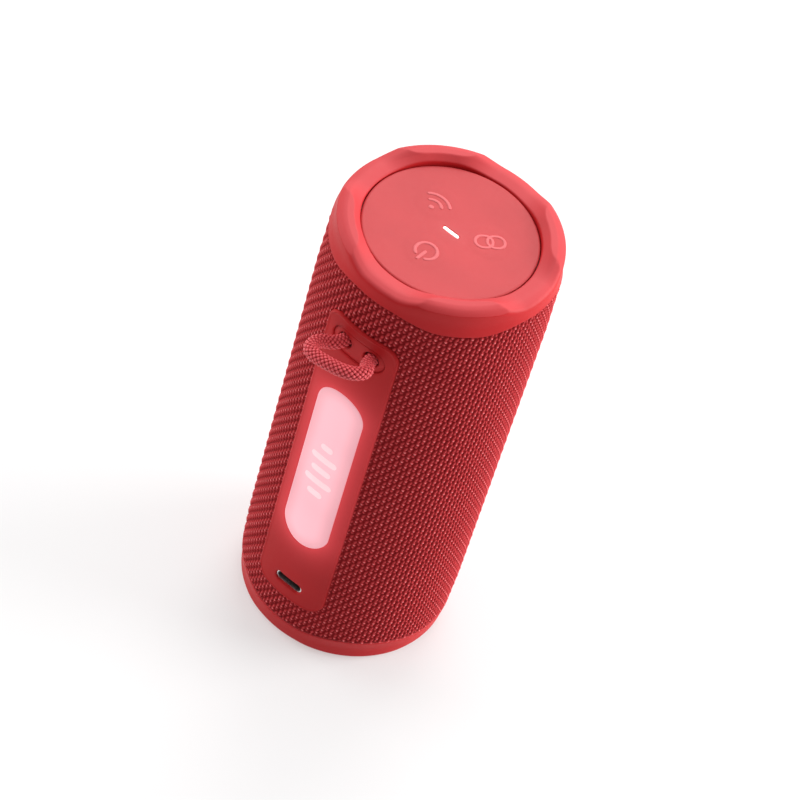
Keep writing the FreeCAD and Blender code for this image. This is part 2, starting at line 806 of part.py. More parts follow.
def charging_socket():
    """Charging socket: drawn metal shell, contact tongue and the little board under it."""
    front = -(S["spine_radius"] - S["socket_sink"])
    back = front + S["socket_depth"]
    body = slab("socket_shell", socket_outline, front, back)
    hollow = sketch_on(body, "XZ_Plane", -front)
    wall = S["socket_wall"]
    stadium(hollow, 0, S["socket_height"], S["socket_width"] - wall * 2, S["socket_thickness"] - wall * 2)
    pocket(body, hollow, S["socket_depth"] - S["socket_end_wall"])
    finish(body, "socket_shell")
    draw = lambda sketch: rectangle(sketch, 0, S["socket_height"], S["tongue_width"], S["tongue_thickness"])
    tongue = slab("socket_tongue", draw, front + S["tongue_setback"], back - S["socket_end_wall"])
    finish(tongue, "socket_tongue")
    board_top = S["socket_height"] - S["socket_thickness"] / 2

    def draw_board(sketch):
        rectangle(sketch, 0, -S["charge_board_depth"], S["charge_board_width"], S["charge_board_length"])

    finish(plate("charge_board", draw_board, board_top - S["board_thickness"], S["board_thickness"]),
           "charge_board")


def loop_eyelets():
    """Moulded insert with the two holes that the carry loop comes out of."""
    blank = wrapped("eyelet_blank", S["shell_radius"] - S["eyelet_back"],
                    S["spine_radius"] - S["eyelet_sink"], eyelet_outline, -1)
    holes = slab("eyelet_holes", eyelet_holes, *REAR_CUT)
    return finish(cut("loop_eyelets", blank, holes), "loop_eyelets")


# The carry loop's route, chosen by hand: out of one eyelet, round, and back into the other.
LOOP_ROUTE = [
    (-4.3, -27.8, 122.5), (-4.3, -32.8, 122.5), (-8.8, -37.2, 123.8), (-7.6, -42.3, 124.4),
    (-2.0, -42.8, 125.4), (4.6, -41.2, 125.4), (7.7, -36.8, 124.8), (4.3, -32.4, 122.5),
    (4.3, -27.8, 122.5),
]


def corner_arcs(points):
    """Straight runs joined by tangent arcs, each as large as its two runs allow."""
    edges = []
    start = points[0]
    radii = []
    for before, corner, after in zip(points, points[1:], points[2:]):
        into, out = corner - before, after - corner
        turn = into.getAngle(out)
        reach = 0.45 * min(into.Length, out.Length)
        radius = reach / math.tan(turn / 2)
        radii.append(round(radius, 1))
        arc_start = corner - into.normalize() * reach
        arc_end = corner + out.normalize() * reach
        middle = (arc_start + arc_end) / 2 - corner
        apex = radius / math.cos(turn / 2) - radius
        arc_middle = corner + middle.normalize() * apex
        edges.append(Part.LineSegment(start, arc_start).toShape())
        edges.append(Part.Arc(arc_start, arc_middle, arc_end).toShape())
        start = arc_end
    edges.append(Part.LineSegment(start, points[-1]).toShape())
    return Part.Wire(edges), radii


def loop_cord():
    """Braided carry loop, as a plain round tube along its route."""
    wire, radii = corner_arcs([Vector(*point) for point in LOOP_ROUTE])
    radius = S["cord_diameter"].number / 2
    first = wire.Edges[0]
    section = Part.Wire([Part.Circle(first.valueAt(first.FirstParameter), Y_AXIS, radius).toShape()])
    solid = wire.makePipeShell([section], True, False)
    expected = math.pi * radius**2 * wire.Length
    print("carry loop: arc radii", radii, "length", round(wire.Length, 1),
          "volume ratio", round(solid.Volume / expected, 4))
    feature = doc.addObject("Part::Feature", "loop_cord")
    feature.Shape = solid
    return finish(feature, "loop_cord")


def loop_clamp():
    """Clamp inside the housing that grips both ends of the loop."""
    width, height = S["eyelet_plate_width"] - S["clamp_margin"], S["eyelet_plate_height"] - S["clamp_margin"]
    draw = lambda sketch: stadium(sketch, 0, S["loop_height"], width, height)
    return finish(slab("loop_clamp", draw, -S["clamp_rear"], -S["clamp_front"]), "loop_clamp")


# ---------------------------------------------------------------- front keys
def key_panel():
    """Rubber panel in the sleeve's front opening, with three key holes."""
    blank = wrapped("key_panel_blank", S["shell_radius"], S["spine_radius"], panel_outline, 1)
    holes = []
    for number, height in enumerate(KEY_HEIGHTS, start=1):
        radius = S["front_key_radius"] + S["front_key_gap"]
        hole = slab(f"panel_hole{number}", lambda sketch: circle(sketch, 0, height, radius), *FRONT_CUT)
        holes.append(hole)
    return finish(cut("key_panel", blank, *holes), "key_panel")


def front_key(name, height):
    """One round key of the front panel, curved to the can, with the stem that presses its switch."""
    draw = lambda sketch: circle(sketch, 0, height, S["front_key_radius"])
    cap = wrapped(f"{name}_cap", S["shell_radius"], S["spine_radius"], draw, 1)
    stem_draw = lambda sketch: circle(sketch, 0, height, S["key_stem_radius"])
    stem = slab(f"{name}_stem", stem_draw, S["front_stem_back"], S["front_stem_front"])
    return finish(boolean("Fuse", name, cap, stem), name)


def front_key_board():
    """Upright board behind the front keys, and its three switches."""
    width, tall, back = S["front_board_width"], S["front_board_height"], S["front_board_back"]
    front = back + S["board_thickness"]
    finish(slab("front_board", lambda sketch: rectangle(sketch, 0, panel_middle, width, tall), back, front),
           "front_key_board")
    switches = []
    for number, height in enumerate(KEY_HEIGHTS, start=1):
        draw = lambda sketch: rectangle(sketch, 0, height, S["switch_width"], S["switch_width"])
        switches.append(slab(f"front_switch{number}", draw, front, S["front_switch_front"]))
    finish(group("front_switches", switches), "front_switches")


# ---------------------------------------------------------------- driver
def oval(sketch, width, length):
    stadium(sketch, 0, S["driver_height"], width, length)


def grille_outline(sketch):
    oval(sketch, S["driver_width"] - S["grille_margin"], S["driver_length"] - S["grille_margin"])


def driver_grille():
    """Curved plate with a column of slots in front of the driver."""
    margin = S["grille_margin"] + S["grille_gap"]
    draw = lambda sketch: oval(sketch, S["driver_width"] - margin, S["driver_length"] - margin)
    blank = wrapped("grille_blank", shell_inner, S["shell_radius"], draw, 1)
    slots = []
    for step in range(-5, 6):
        height = S["driver_height"] + S["grille_pitch"] * step
        length = S["grille_slot_length"] - S["grille_slot_step"] * max(abs(step) - 3, 0)
        draw = lambda sketch: stadium(sketch, 0, height, length, S["grille_slot_width"])
        slots.append(slab(f"grille_slot{step + 5}", draw, *FRONT_CUT))
    return finish(cut("driver_grille", blank, *slots), "driver_grille")


def driver_basket():
    """Pressed frame: oval flange, deep bowl and the rear plate that the motor is fixed to."""
    face = S["driver_face"]
    back = S["basket_back"]
    body = slab("driver_basket", lambda sketch: oval(sketch, S["driver_width"], S["driver_length"]),
                face - S["driver_flange"], face)
    bowl_width = S["driver_width"] - S["bowl_margin"]
    bowl_length = S["driver_length"] - S["bowl_margin"]
    bowl = sketch_on(body, "XZ_Plane", -(face - S["driver_flange"]))
    oval(bowl, bowl_width, bowl_length)
    pad(body, bowl, face - S["driver_flange"] - back)
    hollow = sketch_on(body, "XZ_Plane", -face)
    wall = S["basket_wall"] * 2
    oval(hollow, bowl_width - wall, bowl_length - wall)
    pocket(body, hollow, face - back - S["basket_wall"], backwards=True)
    neck = sketch_on(body, "XZ_Plane", -face)
    circle(neck, 0, S["driver_height"], S["coil_radius"] + S["coil_wall"] + S["coil_gap"] + S["neck_gap"])
    pocket(body, neck, face - back, backwards=True)
    return finish(body, "driver_basket")


def driver_motor():
    """Magnet ring between the front plate and the yoke with its pole."""
    height = S["driver_height"]
    pole = S["coil_radius"] - S["coil_gap"]
    gap = S["coil_radius"] + S["coil_wall"] + S["coil_gap"]

    def ring(inner, outer):
        def draw(sketch):
            circle(sketch, 0, height, outer)
            circle(sketch, 0, height, inner)
        return draw

    plate_front = S["basket_back"]
    plate_back = plate_front - S["motor_plate_thickness"]
    magnet_back = plate_back - S["magnet_thickness"]
    yoke_back = magnet_back - S["motor_plate_thickness"]
    finish(slab("driver_plate", ring(gap, S["magnet_radius"]), plate_back, plate_front), "driver_plate")
    finish(slab("driver_magnet", ring(gap + S["magnet_bore_gap"], S["magnet_radius"]), magnet_back, plate_back),
           "driver_magnet")
    yoke_radius = S["magnet_radius"] - S["yoke_inset"]
    yoke = slab("driver_yoke", lambda sketch: circle(sketch, 0, height, yoke_radius), yoke_back, magnet_back)
    post = sketch_on(yoke, "XZ_Plane", -magnet_back)
    circle(post, 0, height, pole)
    pad(yoke, post, plate_front - magnet_back, backwards=True)
    finish(yoke, "driver_yoke")


def loft_between(name, near, far, near_plane, far_plane):
    """A solid that changes from one oval outline to another between two planes."""
    body = new_body(name)
    first = sketch_on(body, "XZ_Plane", -as_size(near_plane))
    oval(first, *near)
    second = sketch_on(body, "XZ_Plane", -as_size(far_plane))
    oval(second, *far)
    loft = body.newObject("PartDesign::AdditiveLoft", name + "_loft")
    loft.Profile = first
    loft.Sections = [second]
    loft.Ruled = True
    return body


def driver_cone():
    """Stiff oval cone that widens from the coil to the surround."""
    neck = S["coil_radius"] * 2 + S["cone_neck_margin"]
    neck_length = neck + S["cone_neck_stretch"]
    narrower = S["roll_width"] * 2 + S["cone_edge_gap"]
    mouth_width, mouth_length = S["driver_width"] - narrower, S["driver_length"] - narrower
    back, front = S["cone_back"], S["driver_face"] - S["cone_setback"]
    wall = S["cone_wall"]
    outer = loft_between("cone_outside", (neck, neck_length), (mouth_width, mouth_length), back, front)
    inner = loft_between("cone_inside", (neck - wall, neck_length - wall),
                         (mouth_width - wall, mouth_length - wall), back, front)
    return finish(cut("driver_cone", outer, inner), "driver_cone")


def voice_coil():
    """Coil on its former, in the motor's gap."""
    height = S["driver_height"]

    def draw(sketch):
        circle(sketch, 0, height, S["coil_radius"] + S["coil_wall"])
        circle(sketch, 0, height, S["coil_radius"])

    return finish(slab("voice_coil", draw, S["coil_back"], S["cone_back"]), "voice_coil")


def dust_cap():
    """Shallow dome over the coil."""
    centre = Vector(0, S["dome_centre"].number, S["driver_height"].number)
    height = S["driver_height"]
    ball = doc.addObject("Part::Sphere", "cap_ball")
    bind(ball, "Radius", S["dome_radius"])
    hollow = doc.addObject("Part::Sphere", "cap_hollow")
    bind(hollow, "Radius", S["dome_radius"] - S["dome_wall"])
    for sphere in (ball, hollow):
        sphere.Placement = Placement(centre, Rotation())
    skin = boolean("Cut", "cap_skin", ball, hollow)
    rim = S["coil_radius"] - S["dome_inset"]
    front = slab("cap_front", lambda sketch: circle(sketch, 0, height, rim), S["dome_back"], S["dome_back"] * 2)
    return finish(common("dust_cap", skin, front), "dust_cap")


def half_roll(name, plane, width_of_path, length_of_path, radius, wall):
    """A half-round roll of rubber swept round an oval path, with its open side towards -Y."""
    path_body = new_body(name + "_guide")
    path = sketch_on(path_body, "XZ_Plane", -as_size(plane))
    oval(path, width_of_path, length_of_path)
    doc.recompute()
    start = Vector(as_size(width_of_path).number / 2, as_size(plane).number, S["driver_height"].number)
    outer, inner = radius, radius - wall
    arc_out = Part.Arc(start + X_AXIS * outer, start + Y_AXIS * outer, start - X_AXIS * outer).toShape()
    arc_in = Part.Arc(start - X_AXIS * inner, start + Y_AXIS * inner, start + X_AXIS * inner).toShape()
    lip_a = Part.LineSegment(start - X_AXIS * outer, start - X_AXIS * inner).toShape()
    lip_b = Part.LineSegment(start + X_AXIS * inner, start + X_AXIS * outer).toShape()
    section = Part.Wire([arc_out, lip_a, arc_in, lip_b])
    wire = path.Shape.Wires[0]
    solid = wire.makePipeShell([section], True, False)
    feature = doc.addObject("Part::Feature", name)
    feature.Shape = solid
    return feature


def driver_surround():
    """Rubber half roll between the cone and the basket."""
    roll = (S["roll_width"] / 2 + S["roll_overlap"]).number
    path_width = S["driver_width"] - 2 * roll - S["roll_edge"]
    path_length = S["driver_length"] - 2 * roll - S["roll_edge"]
    return finish(half_roll("driver_surround", S["driver_face"], path_width, path_length, roll, S["roll_wall"].number),
                  "driver_surround")


def driver_spider():
    """Sprung disc that keeps the coil centred."""
    height = S["driver_height"]

    def draw(sketch):
        circle(sketch, 0, height, S["magnet_radius"] + S["spider_margin"])
        circle(sketch, 0, height, S["coil_radius"] + S["coil_wall"])

    back = S["spider_back"]
    return finish(slab("driver_spider", draw, back, back + S["spider_thickness"]), "driver_spider")


# ---------------------------------------------------------------- passive radiator
def passive_radiator():
    """Weighted plate on a rubber half roll in the bottom cap."""
    attach = S["foot_cap_bottom"] + S["radiator_lip"]
    plate_bottom = S["foot_cap_bottom"] - S["radiator_plate_drop"]
    finish(tube("radiator_plate", 0, S["radiator_plate_radius"], plate_bottom, attach), "radiator_plate")
    weight = tube("radiator_weight", 0, S["radiator_weight_radius"], attach, attach + S["radiator_weight_height"])
    finish(weight, "radiator_weight")
    body = new_body("radiator_surround")
    sketch = sketch_on(body, "XZ_Plane")
    centre, outer = S["radiator_roll_centre"], S["radiator_roll_radius"]
    inner = outer - S["radiator_roll_wall"]
    arcs = []
    for radius in (outer, inner):
        ring = Part.Circle(Vector(centre.number, attach.number, 0), Z_AXIS, radius.number)
        arcs.append(sketch.addGeometry(Part.ArcOfCircle(ring, math.pi, 2 * math.pi)))
        driven(sketch, radius, "Radius", arcs[-1])
        pin_point(sketch, arcs[-1], 3, centre, attach)
    for end in (1, 2):
        line = sketch.addGeometry(Part.LineSegment(sketch.getPoint(arcs[0], end), sketch.getPoint(arcs[1], end)))
        constrain(sketch, "Coincident", arcs[0], end, line, 1)
        constrain(sketch, "Coincident", arcs[1], end, line, 2)
        constrain(sketch, "Horizontal", line)
    revolve(body, sketch)
    return finish(body, "radiator_surround")


# ---------------------------------------------------------------- battery, boards and leads
def battery():
    """Round cell in its cradle."""
    low = S["cell_bottom"]
    cell = plate("battery_cell", lambda sketch: circle(sketch, 0, -S["cell_depth"], S["cell_radius"]),
                 low, S["cell_length"])
    finish(cell, "battery_cell")
    rear = -(S["cell_depth"] + S["cell_radius"] + S["cradle_wall"])
    depth = S["cell_depth"] + rear

    def draw(sketch):
        rectangle(sketch, 0, rear - depth / 2, S["cell_radius"] * 2 + S["cradle_margin"], -depth)

    block = plate("cradle_block", draw, low + S["cradle_inset"], S["cell_length"] - S["cradle_inset"] * 2)
    bore = S["cell_radius"] + S["cell_gap"]
    room = plate("cradle_room", lambda sketch: circle(sketch, 0, -S["cell_depth"], bore),
                 low, S["cell_length"])
    finish(cut("battery_cradle", block, room), "battery_cradle")


# What the main board carries: centre across and up from the board's middle, width, height, depth.
BOARD_PARTS = [
    (-12, 6, 9, 9, 1.4), (4, 6, 7, 7, 1.2), (14, 8, 5, 5, 3.2),
    (14, -4, 5, 5, 3.2), (-2, -8, 12, 5, 2.0), (-15, -8, 5, 7, 4.5),
]


def main_board():
    """Upright amplifier and control board above the driver and the cell, and what is soldered to it."""
    middle, face = S["main_board_middle"], -S["main_board_depth"]
    draw_board = lambda sketch: rectangle(sketch, 0, middle, S["main_board_width"], S["main_board_height"])
    finish(slab("main_board", draw_board, face, S["board_thickness"] + face), "main_board")
    parts = []
    for number, (x, z, width, tall, deep) in enumerate(BOARD_PARTS):
        draw = lambda sketch: rectangle(sketch, x, middle + z, width, tall)
        parts.append(slab(f"board_part{number}", draw, face - deep, face))
    finish(group("board_components", parts), "board_components")


top_bumper()
bottom_bumper()
fabric_sleeve()
front_shell()
rear_shell()
top_cap()
bottom_cap()
gaskets()
board_screws()
control_disc()
for key_name, key_turn in KEY_TURNS.items():
    disc_key(key_name, key_turn)
status_light()
key_board()
rear_spine()
light_window()
window_marks()
light_engine()
charging_socket()
loop_eyelets()
loop_cord()
loop_clamp()
key_panel()
for key_name, key_height in zip(("volume_up_key", "play_key", "volume_down_key"), KEY_HEIGHTS):
    front_key(key_name, key_height)
front_key_board()
driver_grille()
driver_basket()
driver_motor()
driver_cone()
voice_coil()
dust_cap()
driver_surround()
driver_spider()
passive_radiator()
battery()
main_board()
doc.recompute()


# ---------------------------------------------------------------- tests and export
def check_everything():
    for obj in doc.Objects:
        if "Invalid" in obj.State or "Error" in obj.State:
            raise RuntimeError(f"{obj.Label} did not build: {obj.State}")
    for obj in FINISHED:
        shape = obj.Shape
        if shape.isNull() or not shape.isValid() or not shape.Solids:
            raise RuntimeError(f"{obj.Label} has no valid solid")


def export_everything():
    os.makedirs("parts", exist_ok=True)
    for obj in FINISHED:
        obj.Shape.exportStep(f"parts/{obj.Label}.step")
        print(f"{obj.Label:20s} {obj.Shape.Volume:10.1f} mm3")


check_everything()
export_everything()
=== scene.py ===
"""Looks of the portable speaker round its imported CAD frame, in metres, +Z up and the spine towards -Y."""
import json
import math

import bmesh
import bpy
import numpy as np
from mathutils import Matrix, Vector
from mathutils.geometry import delaunay_2d_cdt


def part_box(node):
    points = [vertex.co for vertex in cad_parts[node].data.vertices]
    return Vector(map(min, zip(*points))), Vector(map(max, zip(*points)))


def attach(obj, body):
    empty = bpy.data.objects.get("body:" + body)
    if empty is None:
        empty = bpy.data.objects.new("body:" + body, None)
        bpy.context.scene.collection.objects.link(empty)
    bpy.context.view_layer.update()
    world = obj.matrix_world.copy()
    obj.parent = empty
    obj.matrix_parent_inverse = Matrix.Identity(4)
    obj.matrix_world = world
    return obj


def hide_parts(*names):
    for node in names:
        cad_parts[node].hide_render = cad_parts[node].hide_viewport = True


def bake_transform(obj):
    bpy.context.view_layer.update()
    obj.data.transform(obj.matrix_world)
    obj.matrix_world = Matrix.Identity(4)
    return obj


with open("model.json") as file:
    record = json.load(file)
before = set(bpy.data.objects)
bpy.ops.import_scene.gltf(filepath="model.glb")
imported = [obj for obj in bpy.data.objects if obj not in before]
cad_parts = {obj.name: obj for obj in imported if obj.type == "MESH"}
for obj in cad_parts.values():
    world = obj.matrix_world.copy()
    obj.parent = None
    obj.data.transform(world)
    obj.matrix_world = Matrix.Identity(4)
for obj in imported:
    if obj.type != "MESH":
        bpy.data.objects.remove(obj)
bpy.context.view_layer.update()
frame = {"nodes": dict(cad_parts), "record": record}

MM = 0.001
SEED = 7
REAR, FRONT = -1, 1


# ---------------- sizes read from the frame
def span(node, axis):
    """Lowest and highest coordinate of a CAD node along an axis, 0 to 2."""
    low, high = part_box(node)
    return low[axis], high[axis]


def middle(node):
    low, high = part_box(node)
    return (low + high) / 2


def size(node):
    low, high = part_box(node)
    return high - low


CAN_RADIUS = span("fabric_sleeve", 0)[1]
TOP = span("top_bumper", 2)[1]
FABRIC_LOW, FABRIC_HIGH = span("fabric_sleeve", 2)
DISC_RADIUS = span("control_disc", 0)[1]
DISC_TOP = span("control_disc", 2)[1]
CAP_TOP = span("key_board", 2)[0]
FOOT_CAP = span("bottom_cap", 2)[0]
SPINE_RADIUS = -span("rear_spine", 1)[0]
SHELL_RADIUS = span("top_cap", 0)[1]
TUCK_RADIUS = SHELL_RADIUS + 0.05 * MM
PAD_DROP = 2.1 * MM
PAD_RISE = 1.0 * MM
SPINE_CORNER = 4.8 * MM


# ---------------- materials
class Nodes:
    """Short words for building a tree of shader nodes."""

    def __init__(self, tree):
        self.tree = tree

    def node(self, kind, **inputs):
        """A new shader node with its inputs fed by name, or by number as i0, i1."""
        made = self.tree.nodes.new("ShaderNode" + kind)
        for name, value in inputs.items():
            self.feed(made.inputs[int(name[1:]) if name[1:].isdigit() else name.replace("_", " ")], value)
        return made

    def feed(self, socket, value):
        if isinstance(value, bpy.types.NodeSocket):
            self.tree.links.new(value, socket)
        else:
            socket.default_value = value

    def math(self, operation, first, second):
        made = self.node("Math", i0=first, i1=second)
        made.operation = operation
        return made.outputs[0]

    def between(self, factor, low, high):
        return self.node("MapRange", Value=factor, To_Min=low, To_Max=high).outputs[0]


class Look(Nodes):
    """A procedural material on one Principled shader."""

    def __init__(self, name, colour, roughness, **sockets):
        self.material = bpy.data.materials.new(name)
        self.material.use_nodes = True
        super().__init__(self.material.node_tree)
        self.shader = self.tree.nodes["Principled BSDF"]
        self.set("Base Color", (*colour, 1))
        self.set("Roughness", roughness)
        for socket, value in sockets.items():
            self.set(socket.replace("_", " "), value)
        self.place = None
        self.height = None

    def set(self, socket, value):
        """Sets a socket of the shader, or links a node's output to it."""
        self.feed(self.shader.inputs[socket], value)

    def stretched(self, scale):
        """Object coordinates, scaled along each axis."""
        if self.place is None:
            self.place = self.node("TexCoord").outputs["Object"]
        return self.node("Mapping", Vector=self.place, Scale=scale).outputs[0]

    def noise(self, scale, detail, stretch=(1, 1, 1)):
        made = self.node("TexNoise", Vector=self.stretched(stretch), Scale=scale, Detail=detail)
        return made.outputs["Fac"]

    def ramp(self, factor, *stops):
        """A colour ramp through (position, colour) stops."""
        made = self.node("ValToRGB", Fac=factor)
        elements = made.color_ramp.elements
        while len(elements) < len(stops):
            elements.new(0.5)
        for element, (position, colour) in zip(elements, stops):
            element.position = position
            element.color = (*colour, 1)
        return made.outputs["Color"]

    def attribute(self, name):
        made = self.node("Attribute")
        made.attribute_name = name
        return made.outputs["Fac"]

    def colour(self, output):
        self.set("Base Color", output)

    def clouded(self, cloud, colour, low, high):
        """Colours the surface from low to high times the colour, as a noise says."""
        self.colour(self.ramp(cloud, (0.3, tint(colour, low)), (0.7, tint(colour, high))))

    def stirred(self, value, noise, by):
        """The value with up to by added or taken away, as a noise says."""
        return self.math("ADD", value, self.between(noise, -by, by))

    def rough(self, output):
        self.set("Roughness", output)

    def glow(self, colour, level):
        self.set("Emission Color", (*colour, 1))
        self.set("Emission Strength", level)

    def bump(self, height, distance, strength):
        """Adds a bump, distance in metres, over any that is there already."""
        made = self.node("Bump", Strength=strength, Distance=distance, Height=height)
        if self.height is not None:
            self.feed(made.inputs["Normal"], self.height)
        self.height = made.outputs[0]
        self.set("Normal", self.height)


def tint(colour, factor):
    return tuple(min(1.0, channel * factor) for channel in colour)


def soft_rubber(name, colour, roughness, gloss=0.3, painted_top_highlight=None):
    """Moulded silicone: faint clouding, a fine matt grain and, where a top colour is given, upward faces
    painted paler: a painted highlight of the light from above.
    """
    look = Look(name, colour, roughness, Specular_IOR_Level=gloss)
    cloud = look.noise(60, 4)
    if painted_top_highlight:
        # painted highlight: faces that point up are painted with the paler top colour, as if lit from above
        upward = look.node("SeparateXYZ", i0=look.node("NewGeometry").outputs["Normal"]).outputs["Z"]
        look.colour(look.ramp(look.stirred(upward, cloud, 0.08), (0.45, colour), (1.0, painted_top_highlight)))
    else:
        look.clouded(cloud, colour, 0.94, 1.05)
    look.rough(look.between(look.noise(900, 2), roughness - 0.05, roughness + 0.07))
    look.bump(look.noise(4200, 2), 0.02 * MM, 0.5)
    look.bump(look.noise(350, 3), 0.03 * MM, 0.4)
    return look


def glowing(look, colour, strength):
    """Adds light that bleeds through from a lamp close by, as the mesh's glow attribute says."""
    look.glow(colour, look.math("MULTIPLY", look.attribute("glow"), strength))


RUBBER_RED = (0.53, 0.017, 0.020)
# painted highlight: the paler red that the bumpers' upward faces are painted with
PAINTED_TOP_HIGHLIGHT_RED = (0.62, 0.074, 0.082)
# the disc's own red, painted paler than the bumper rubber as a painted highlight of the light from above
DISC_RED = (0.55, 0.050, 0.055)
DARK_RED = (0.45, 0.013, 0.015)
PANEL_RED = (0.44, 0.018, 0.021)
WINDOW_SPILL = (0.85, 0.10, 0.12)
SPILL_STRENGTH = 0.42


def fabric_look():
    """Coarse knitted yarn with fine fibres: each stitch painted lighter at its crown as a painted highlight,
    and dark red in the gaps as painted shade.
    """
    look = Look("sleeve_knit", (0.35, 0.04, 0.045), 0.82, Sheen_Weight=0.15, Sheen_Roughness=0.4,
                Sheen_Tint=(1.0, 0.4, 0.42, 1), Specular_IOR_Level=0.08)
    fibre = look.noise(2600, 3, (1, 1, 0.35))
    lift = look.stirred(look.stirred(look.attribute("height"), fibre, 0.10), look.noise(140, 3), 0.06)
    # ramp from the yarn's height: painted shade in the gaps, painted highlight on the crowns
    look.colour(look.ramp(lift, (0.0, (0.25, 0.008, 0.011)), (0.4, (0.38, 0.020, 0.024)),
                          (0.78, (0.58, 0.055, 0.062)), (1.0, (0.96, 0.27, 0.28))))
    look.rough(look.between(fibre, 0.7, 0.95))
    look.bump(fibre, 0.05 * MM, 0.7)
    return look.material


def yarn_look():
    """Glossy braid yarn made of fine filaments that run along it, painted dark in the gaps as painted shade
    and pale on the crowns as painted highlight.
    """
    look = Look("braid_yarn", (0.6, 0.05, 0.06), 0.4, Sheen_Weight=0.1, Sheen_Roughness=0.35,
                Sheen_Tint=(1.0, 0.35, 0.38, 1), Specular_IOR_Level=0.3)
    strands = look.noise(9000, 2)
    lift = look.stirred(look.attribute("height"), strands, 0.08)
    # ramp from the yarn's height: painted shade in the gaps and on the core, painted highlight on the crowns
    look.colour(look.ramp(lift, (0.0, (0.10, 0.003, 0.004)), (0.5, (0.36, 0.012, 0.017)),
                          (0.78, (0.60, 0.035, 0.045)), (1.0, (0.88, 0.13, 0.15))))
    look.rough(look.between(strands, 0.35, 0.6))
    look.bump(look.attribute("fibre"), 0.035 * MM, 0.8)
    return look.material


def lens_look():
    """Milky window, evenly lit from behind and a little dimmer towards its rim."""
    look = Look("lit_window", (0.42, 0.17, 0.19), 0.35, Specular_IOR_Level=0.3)
    soft = look.noise(45, 2)
    look.glow((1.0, 0.50, 0.565), look.stirred(look.between(look.attribute("glow"), 0.56, 0.80), soft, 0.03))
    look.colour(look.ramp(soft, (0.35, (0.38, 0.15, 0.17)), (0.65, (0.46, 0.19, 0.21))))
    look.bump(look.noise(3500, 2), 0.01 * MM, 0.3)
    return look.material


def mark_look():
    """White print on the window, lit through."""
    look = Look("window_print", (0.62, 0.36, 0.38), 0.4)
    look.glow((1.0, 0.62, 0.66), look.between(look.noise(300, 2), 0.62, 0.72))
    look.bump(look.noise(3000, 2), 0.01 * MM, 0.3)
    return look.material


def lamp_look():
    """Bright bar of the status light."""
    look = Look("status_bar", (1.0, 0.9, 0.88), 0.3)
    look.glow((1.0, 0.84, 0.80), look.between(look.noise(400, 2), 0.85, 1.0))
    return look.material


def metal_look(name, colour, roughness):
    """Bare metal with drawn marks and a little dulling."""
    look = Look(name, colour, roughness, Metallic=1.0)
    marks = look.noise(1500, 3, (1, 1, 0.2))
    look.clouded(marks, colour, 0.85, 1.08)
    look.rough(look.between(marks, roughness * 0.8, roughness * 1.4))
    look.bump(marks, 0.008 * MM, 0.4)
    return look.material


def moulded_look(name, colour, roughness):
    """Moulded plastic with a spark-eroded grain and slight clouding."""
    look = Look(name, colour, roughness)
    grain_scale = 2600
    look.clouded(look.noise(90, 3), colour, 0.9, 1.1)
    look.rough(look.between(look.noise(grain_scale / 3, 2), roughness - 0.06, roughness + 0.08))
    look.bump(look.noise(grain_scale, 2), 0.02 * MM, 0.6)
    return look.material


def board_look():
    """Circuit board: green resist with paler tracks under it."""
    look = Look("board", (0.02, 0.11, 0.05), 0.35, Coat_Weight=0.4, Coat_Roughness=0.15)
    tracks = look.node("TexWave", Vector=look.stretched((1, 1, 1)), Scale=260.0, Distortion=6.0, Detail=2.0)
    look.colour(look.ramp(tracks.outputs["Fac"], (0.45, (0.012, 0.075, 0.035)), (0.55, (0.03, 0.16, 0.07))))
    look.bump(tracks.outputs["Fac"], 0.03 * MM, 0.5)
    return look.material


def cloth_look(name, colour, scale):
    """Woven or pulpy sheet: a fine crossed pattern."""
    look = Look(name, colour, 0.85, Sheen_Weight=0.2)
    threads = look.node("TexWave", Vector=look.stretched((1, 1, 1)), Scale=float(scale), Distortion=1.5)
    look.colour(look.ramp(threads.outputs["Fac"], (0.2, tint(colour, 0.75)), (0.8, tint(colour, 1.1))))
    look.bump(threads.outputs["Fac"], 0.05 * MM, 0.6)
    return look.material


def node_materials():
    """A material for each of the record's slots that a CAD node shows."""
    moulded = {
        "housing_plastic": ((0.10, 0.008, 0.010), 0.5),
        "foot_plastic": ((0.20, 0.013, 0.017), 0.5),
        "seal_rubber": ((0.03, 0.03, 0.032), 0.65),
        "switch_plastic": ((0.04, 0.04, 0.045), 0.4),
        "led": ((0.9, 0.85, 0.6), 0.3),
        "guide_plastic": ((0.85, 0.8, 0.8), 0.35),
        "socket_contact": ((0.03, 0.03, 0.035), 0.4),
        "radiator_plastic": ((0.30, 0.024, 0.028), 0.45),
        "cell_wrap": ((0.05, 0.16, 0.35), 0.3),
        "chip": ((0.02, 0.02, 0.022), 0.5),
    }
    metal = {
        "steel": ((0.55, 0.55, 0.56), 0.35),
        "socket_metal": ((0.80, 0.78, 0.77), 0.28),
        "basket_steel": ((0.18, 0.18, 0.19), 0.45),
        "magnet": ((0.25, 0.25, 0.26), 0.5),
        "copper": ((0.75, 0.33, 0.16), 0.3),
    }
    cloth = {"cone_paper": ((0.06, 0.06, 0.065), 500), "spider_cloth": ((0.55, 0.35, 0.10), 900)}
    looks = {"board": board_look()}
    for kind, table in ((moulded_look, moulded), (metal_look, metal), (cloth_look, cloth)):
        looks.update({slot: kind(slot, *values) for slot, values in table.items()})
    return looks


# ---------------- mesh helpers
def in_scene(name, data):
    """A new object of the data, linked into the scene."""
    obj = bpy.data.objects.new(name, data)
    bpy.context.scene.collection.objects.link(obj)
    return obj


def dress(obj, material):
    obj.data.materials.clear()
    obj.data.materials.append(material)


